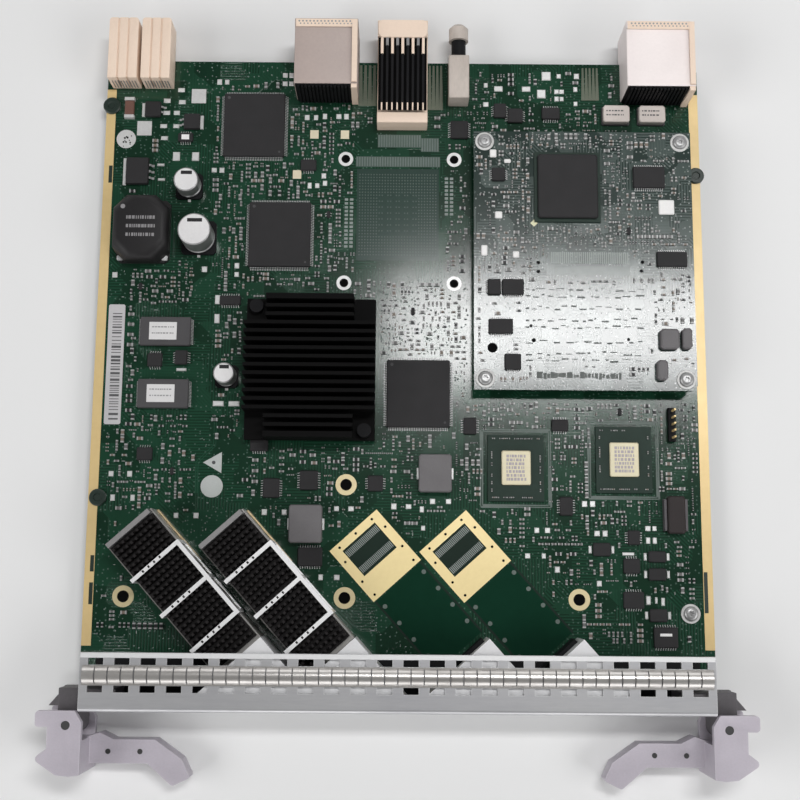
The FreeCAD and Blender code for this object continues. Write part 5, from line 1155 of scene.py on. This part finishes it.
outline_bodies = Heap()


def crowd(ground, z, left, right, near, far, rows):
    for row in range(rows):
        x, y = rng.uniform(left, right), at(rng.uniform(near, far))
        size = rng.choice(CHIP_SIZES)
        upright, stacked = rng.random() < UPRIGHT_SHARE, rng.random() < STACKED_SHARE
        width, length = (size[1], size[0]) if upright else (size[0], size[1])
        count, gap = rng.randint(2, 9), rng.uniform(0.45, 0.9)
        heap, three_legged = rng.choice(CHIP_KINDS), rng.random() < THREE_LEGGED_SHARE
        if three_legged and ground.free(x, y, 4.0, 3.6):
            low, high = Vector((x - 0.7, y - 1.45, z)), Vector((x + 0.7, y + 1.45, z + 1.0))
            leaded(outline_bodies, low, high, "ew", 0.95, 0.6)
            ground.reserve(x, y, 3.2, 3.2)
            continue
        for k in range(count):
            a, b = (x, y + k * (length + gap)) if stacked else (x + k * (width + gap), y)
            if ground.free(a, b, width + 0.5, length + 0.5):
                chip_part(heap, a, b, z, size, UPRIGHT if upright else 0.0)
                ground.reserve(a, b, width + 0.3, length + 0.3)


for zone in BOARD_CROWDS:
    crowd(board_ground, BOARD_TOP, *zone)
for zone in DAUGHTER_CROWDS:
    crowd(daughter_ground, DAUGHTER_TOP, *zone)
piece("capacitor_chips", tan_bodies, ceramic_tan)
piece("grey_chips", grey_bodies, ceramic_grey)
piece("resistor_chips", black_bodies, resistor_black)
piece("outline_bodies", outline_bodies, epoxy_dark)
piece("chip_ends", end_caps, solder_dull)
piece("package_leads", leads, lead_tin)
piece("solder_tabs", tabs, tin_solder)
piece("pin_one_dots", pin_marks, epoxy_grey)

# Conductors, poured areas and vias.
tracks, olive_tracks, pours, vias = heaps(4)
TRACK_BUNDLES, TRACK_WIDTH, TRACK_THICK = 150, 0.24, 0.025
REAR_TRACKS = ((-16.5, 4, 1.8, 232.0, 249.0), (10.8, 4, 1.5, 230.5, 249.0), (71.5, 5, 1.4, 235.0, 248.5))
for left, count, pitch, near, far in REAR_TRACKS:
    for k in range(count):
        x = left + k * pitch
        track(olive_tracks, [(x, at(near)), (x, at(far))], 0.5 * pitch, BOARD_TOP)
for bundle in range(TRACK_BUNDLES):
    x, y = rng.uniform(-108, 108), rng.uniform(at(62), at(242))
    count, pitch = rng.randint(3, 9), rng.uniform(0.55, 0.8)
    run, jog = rng.uniform(6, 24), rng.uniform(2, 9) * rng.choice((-1, 1))
    across = rng.random() < 0.5
    for k in range(count):
        shift = k * pitch
        bend = run * 0.5 - math.copysign(0.414, jog) * shift
        local = [(0, shift), (bend, shift), (bend + abs(jog), shift + jog), (run + abs(jog), shift + jog)]
        route = [(x + a, y + b) if across else (x + b, y + a) for a, b in local]
        if all(board_ground.free(*point) for point in route):
            track(tracks, route, TRACK_WIDTH, BOARD_TOP, TRACK_THICK)


def scatter_vias(ground, z, count, left, right, near, far, smallest, largest):
    for k in range(count):
        x, y = rng.uniform(left, right), rng.uniform(at(near), at(far))
        if ground.free(x, y, 0.6, 0.6):
            disc(vias, x, y, z, rng.uniform(smallest, largest))


scatter_vias(board_ground, BOARD_TOP, 2200, -111, 111, 25, 247, 0.18, 0.32)
scatter_vias(daughter_ground, DAUGHTER_TOP, 900, 28, 111, 117, 218, 0.16, 0.28)
scatter_vias(board_ground, BOARD_TOP, 700, -8, 27, 122, 162, 0.18, 0.42)
LANDS_X, LANDS_DEPTH, LAND_COLUMNS, LAND_STEP_X, LAND_LINES, LAND_STEP_Y = 105.5, 98.5, 4, 1.6, 12, 1.4
for line in range(LAND_LINES):
    for column in range(LAND_COLUMNS):
        place = (LANDS_X + column * LAND_STEP_X, at(LANDS_DEPTH) + line * LAND_STEP_Y)
        disc(vias, *place, BOARD_TOP, 0.4, 0.05, 10)

# Empty grid-array site: a smooth field of faint dots, lined poured bands behind it and pad columns at its
# sides.
GRID_X, GRID_DEPTH, GRID_WIDTH, GRID_LENGTH = -1.5, 187.5, 32.0, 37.0
GRID_ROWS, GRID_CORE, COLUMN_PITCH, ROW_PITCH = 28, range(7, 21), 1.1, 1.2
PAD_COLUMNS = ((-20.5, 184.0, 20.5, 13), (18.5, 195.0, 16.0, 10))
POURED_BANDS = ((GRID_X, 209.0, 33.0, 4.2), (-1.0, 217.5, 17.0, 5.2), (11.0, 216.0, 7.0, 5.6))
site, site_dots, site_lands, band_lines = heaps(4)
brick(site, GRID_X, at(GRID_DEPTH), BOARD_TOP, GRID_WIDTH, GRID_LENGTH, INK_THICK)
for row, along in enumerate(spread(GRID_ROWS, ROW_PITCH)):
    for column, across in enumerate(spread(GRID_ROWS, COLUMN_PITCH)):
        if row in GRID_CORE and column in GRID_CORE and (row % 2 or column % 3 == 0):
            continue
        disc(site_dots, GRID_X + across, at(GRID_DEPTH) + along, BOARD_TOP + INK_THICK, 0.3, INK_THICK)
for x, depth, width, length in POURED_BANDS:
    over = BOARD_TOP + COPPER_THICK
    brick(pours, x, at(depth), BOARD_TOP, width, length, COPPER_THICK)
    for along in spread(int(width), 1.0):
        brick(band_lines, x + along, at(depth), over, 0.5, length - 0.4, INK_THICK)
for x, depth, length, count in PAD_COLUMNS:
    for k in range(count):
        for side in (-1, 1):
            y = at(depth) + (k - (count - 1) / 2) * length / count
            brick(site_lands, x + side, y, BOARD_TOP, 1.3, 0.6 * length / count, LAND_THICK)
piece("grid_site", site, site_green)
piece("grid_dots", site_dots, dot_green)
piece("grid_columns", site_lands, land_pale)
piece("poured_lines", band_lines, land_dim)
piece("board_tracks", tracks, track_green)
piece("rear_tracks", olive_tracks, track_olive)
piece("poured_copper", pours, pour_green)
piece("via_lands", vias, land_dim)

# Screen-printed ticks beside the small parts.
PRINTED_TICKS = 420
for k in range(PRINTED_TICKS):
    x, y = rng.uniform(-110, 110), rng.uniform(at(25), at(247))
    turn = rng.choice((0.0, UPRIGHT))
    if board_ground.free(x, y, 1.0, 1.0):
        brick(screen, x, y, BOARD_TOP, rng.uniform(0.5, 1.6), 0.16, INK_THICK, turn)
piece("screen_print", screen, screen_white)
piece("label_bars", ink, label_ink)
piece("memory_bars", grey_print, grey_print_and_hole_shade)
piece("choke_print", faint_print, ink_faint)

# Connector contacts: dark wafers across the front of the signal connectors, on a dark sheet that is painted
# shade of the front faces; grey discs along their rear lips are painted shade in the lips' holes.
front_shade_and_wafers, lip_holes, rails = heaps(3)
CONTACT_PITCH = 1.4
for name in ("signal_connector_left", "signal_connector_right"):
    low, high = span(name)
    middle, width = (low.x + high.x) / 2, high.x - low.x
    rise = high.z - BOARD_TOP - 0.8
    # Painted shade: a dark sheet over the whole front face.
    brick(front_shade_and_wafers, middle, low.y - 0.1, BOARD_TOP, width - 0.8, 0.6, rise)
    for along in spread(int((width - CONTACT_PITCH) / CONTACT_PITCH), CONTACT_PITCH):
        x = middle + along
        brick(front_shade_and_wafers, x, low.y - 0.7, BOARD_TOP, 0.9, 1.0, rise - 0.6, draft=0.05)
        # Grey discs for the contact holes: painted shade in the holes.
        disc(lip_holes, x, high.y - 1.3, high.z + 0.2, 0.38, sides=10)
        disc(lip_holes, x + 0.5, high.y - 2.3, high.z + 0.2, 0.3, sides=10)
    brick(rails, middle, high.y - 1.9, high.z - 0.1, width - 0.8, 3.2, 0.3, draft=0.1)
    brick(rails, high.x - 1.3, (low.y + high.y) / 2, high.z - 0.1, 2.2, high.y - low.y - 0.8, 0.5, draft=0.12)
    brick(rails, high.x - 1.4, low.y - 0.9, BOARD_TOP, 2.4, 1.8, rise + 0.4, draft=0.1)
piece("signal_front_shade_and_wafers", front_shade_and_wafers, moulding_black)
piece("lip_holes", lip_holes, grey_print_and_hole_shade)
piece("signal_rails", rails, connector_cream)

# Blade bank of the middle connector: dark ridges between long rear teeth and short front ones, on a black
# plate that is painted shade between the ridges; the short rear teeth are painted grey as shade in their
# recess.
low, high = span("middle_connector")
CAP_FRONT, BANK_FRONT, TEETH_FRONT, BLADES, BLADE_PITCH = 137.6, 108.0, 111.0, 9, 2.0
bank, ridges, teeth, short_teeth = heaps(4)
middle = (low.x + high.x) / 2
ridge_length, ridge_middle = CAP_FRONT - TEETH_FRONT, (CAP_FRONT + TEETH_FRONT) / 2
# Painted shade: a black plate for the gaps between the ridges.
brick(bank, middle, (CAP_FRONT + BANK_FRONT) / 2, high.z, 18.8, CAP_FRONT - BANK_FRONT, 0.2)
cap_length, cap_middle = high.y - CAP_FRONT - 0.1, (CAP_FRONT + high.y) / 2
brick(teeth, middle, cap_middle, high.z, 19.4, cap_length, 0.6, draft=0.2, cut=1.4)
for k, along in enumerate(spread(BLADES, BLADE_PITCH)):
    x = middle + along
    brick(ridges, x, ridge_middle, high.z + 0.2, 1.1, ridge_length, 0.6, draft=0.15)
    brick(teeth, x, (BANK_FRONT + TEETH_FRONT) / 2, high.z + 0.2, 0.6, 3.0, 0.5, draft=0.08)
    # The short rear teeth are cream moulding painted grey: painted shade in their recess.
    if k % 2:
        brick(short_teeth, x, CAP_FRONT - 1.7, high.z, 1.2, 3.4, 0.85, draft=0.12)
    else:
        brick(teeth, x, CAP_FRONT - 3.4, high.z, 1.2, 6.8, 0.9, draft=0.12)
piece("blade_bank", bank, recess_shade_black)
piece("blade_ridges", ridges, moulding_black)
piece("bank_teeth", teeth, connector_cream)
piece("bank_short_teeth", short_teeth, lip_grey)

# Dark band round the neck of the guide pin, painted shade of the groove there, and the combs at the foot of
# the power connectors.
GUIDE_NECK, GUIDE_HEAD_LENGTH = 2.8, 6.4
COMB_TEETH, COMB_PITCH, COMB_HEIGHT = 9, 1.1, 6.5
band, combs = heaps(2)
low, high = span("guide_pin")
middle = (low + high) / 2
rings = []
for y in (low.y + 0.2, high.y - GUIDE_HEAD_LENGTH - 0.1):
    rings.append([(x, y, z) for x, z in circle(middle.x, middle.z, GUIDE_NECK, 28)])
band.loft(rings)
piece("guide_band", band, moulding_black)
for name in ("power_connector_outer", "power_connector_inner"):
    low, high = span(name)
    for along in spread(COMB_TEETH, COMB_PITCH):
        brick(combs, (low.x + high.x) / 2 + along, low.y - 0.02, BOARD_TOP + 1.0, 0.3, 0.3, COMB_HEIGHT)
piece("power_combs", combs, lip_grey)

# Painted shade: a dark strip on the board below the flange's slots, so that the slots look dark.
slot_shade = Heap()
SLOT_SHADE_DEPTH, SLOT_SHADE_WIDTH, SLOT_SHADE_LENGTH, SLOT_SHADE_THICK = 10.5, 222.0, 17.0, 0.08
brick(slot_shade, 0.0, at(SLOT_SHADE_DEPTH), BOARD_TOP, SLOT_SHADE_WIDTH, SLOT_SHADE_LENGTH, SLOT_SHADE_THICK, cut=0.6)
piece("flange_slot_shade", slot_shade, moulding_black)

# Rivets that move with their levers.
RIVETS_X, RIVET_DEPTH, RIVET_FOOT, RIVET_RADIUS, RIVET_BORE = (104.0, 92.5), -15.0, 10.5, 0.95, 0.55
for side, sign in (("left", -1), ("right", 1)):
    rivets = Heap()
    for x in RIVETS_X:
        washer(rivets, sign * x, at(RIVET_DEPTH), RIVET_FOOT, RIVET_RADIUS, RIVET_BORE, 0.08, 24)
        disc(rivets, sign * x, at(RIVET_DEPTH), RIVET_FOOT, RIVET_BORE, sides=24)
    piece(f"lever_rivets_{side}", rivets, dark_steel, f"lever_{side}")

# Solder joints under the through-hole parts: x, depth, columns and rows, and their pitches.
JOINT_FIELDS = (
    (-102.0, 244.0, 8, 3, 2.9, 2.5), (-29.5, 242.0, 14, 5, 1.5, 2.4), (99.5, 242.0, 15, 5, 1.5, 2.4),
    (0.0, 236.0, 9, 4, 1.9, 5.0), (69.5, 174.5, 30, 2, 1.6, 3.8), (69.5, 134.5, 30, 2, 1.6, 3.8),
    (-98.0, 179.5, 2, 2, 12.0, 20.0), (102.5, 105.5, 1, 5, 1.0, 2.54),
)
JOINT_CONE = ((0.25, BOARD_UNDER - 1.0), (0.45, BOARD_UNDER - 0.5), (0.85, BOARD_UNDER))
joints = Heap()
for x, depth, columns, rows, column_pitch, row_pitch in JOINT_FIELDS:
    for across in spread(columns, column_pitch):
        for along in spread(rows, row_pitch):
            turned(joints, x + across, at(depth) + along, JOINT_CONE, 10)
piece("underside_joints", joints, tin_solder)

# Studio: a pale floor that turns up into a backdrop, low soft light and one overhead lamp whose reflection
# lies on the daughter board.
scene = bpy.context.scene
scene.view_settings.view_transform = "Standard"
FLOOR_PALE = colour(0.80, 0.80, 0.80)
SHADOW_REACH, PLAIN_FROM = 0.55, 1.15
FLOOR_PROFILE = ((0.4, 0.0), (1.0, 0.0), (1.8, 0.0), (2.2, 0.04), (2.5, 0.2), (2.7, 0.5), (2.8, 1.0),
                 (2.8, 2.2))
FLOOR_SIDES, FLOOR_DROP = 64, 0.0003


def floor_paint():
    """Pale paint that takes the object's shadow near it; far off it is plain pale to the camera."""
    material, tree = blank_material("floor_paint")
    place = add(tree, "TexCoord").outputs["Object"]
    away = add(tree, "VectorMath", {"operation": "LENGTH"}, _0=place).outputs["Value"]
    far = add(tree, "MapRange", {"interpolation_type": "SMOOTHSTEP"}, Value=away, From_Min=SHADOW_REACH,
              From_Max=PLAIN_FROM).outputs[0]
    rays = add(tree, "LightPath").outputs
    seen = calc(tree, "MAXIMUM", rays["Is Camera Ray"], rays["Is Glossy Ray"])
    seen = calc(tree, "MAXIMUM", seen, rays["Is Transmission Ray"])
    tone = tint(tree, far, FLOOR_PALE, colour(0.05, 0.05, 0.05))
    glow = tint(tree, calc(tree, "MULTIPLY", far, seen), colour(0.0, 0.0, 0.0), FLOOR_PALE)
    shader = add(tree, "BsdfPrincipled", Base_Color=tone, Roughness=0.8, Emission_Color=glow,
                 Emission_Strength=1.0)
    add(tree, "OutputMaterial", Surface=shader.outputs[0])
    return material


def studio_floor():
    points = []
    for radius, z in FLOOR_PROFILE:
        points += raised(circle(0, 0, radius, FLOOR_SIDES), z - FLOOR_DROP)
    faces = [tuple(range(FLOOR_SIDES))]
    for start in range(0, len(points) - FLOOR_SIDES, FLOOR_SIDES):
        beyond = start + FLOOR_SIDES
        for k in range(FLOOR_SIDES):
            following = (k + 1) % FLOOR_SIDES
            faces.append((start + k, beyond + k, beyond + following, start + following))
    mesh = bpy.data.meshes.new("studio_floor")
    mesh.from_pydata(points, [], faces)
    mesh.shade_smooth()
    mesh.materials.append(floor_paint())
    floor = bpy.data.objects.new("studio_floor", mesh)
    scene.collection.objects.link(floor)


studio_floor()
world = bpy.data.worlds.new("studio_air")
scene.world = world
world.use_nodes = True
air = world.node_tree.nodes["Background"].inputs
air["Color"].default_value = colour(1.0, 1.0, 1.0)
air["Strength"].default_value = 0.09
TARGET = Vector((0.0, -0.00375, 0.006))
CAMERA_PLACE = (0.0, -0.07508, 0.45639)
CAMERA_LENS, CAMERA_SENSOR, CAMERA_ROLL = 54.0, 36.0, math.radians(0.45)


def soft_lamp(name, place, aim, width, length, watts):
    data = bpy.data.lights.new(name, "AREA")
    data.shape = "RECTANGLE"
    data.size, data.size_y, data.energy = width, length, watts
    lamp = bpy.data.objects.new(name, data)
    lamp.location = place
    lamp.rotation_euler = (aim - lamp.location).to_track_quat("-Z", "Y").to_euler()
    lamp.visible_camera = False
    scene.collection.objects.link(lamp)


soft_lamp("left_softbox", Vector((-1.0, -0.35, 0.75)), TARGET, 0.9, 0.6, 7.2)
soft_lamp("right_softbox", Vector((1.0, -0.45, 0.75)), TARGET, 0.9, 0.6, 6.2)
soft_lamp("rear_softbox", Vector((0.0, 1.05, 0.55)), TARGET, 1.2, 0.5, 2.0)
soft_lamp("front_softbox", Vector((0.0, -1.20, 0.45)), TARGET, 1.2, 0.5, 3.0)
soft_lamp("overhead_lamp", Vector((0.194, 0.219, 0.906)), Vector((0.194, 0.219, 0.0)), 0.41, 0.118, 3.9)

camera_data = bpy.data.cameras.new("photo_camera")
camera_data.lens = CAMERA_LENS
camera_data.sensor_width = CAMERA_SENSOR
camera_data.clip_start = 0.01
camera = bpy.data.objects.new("photo_camera", camera_data)
camera.location = CAMERA_PLACE
aim = (TARGET - camera.location).to_track_quat("-Z", "Y").to_matrix()
camera.rotation_euler = (aim @ Matrix.Rotation(CAMERA_ROLL, 3, "Z")).to_euler()
scene.collection.objects.link(camera)
scene.camera = camera
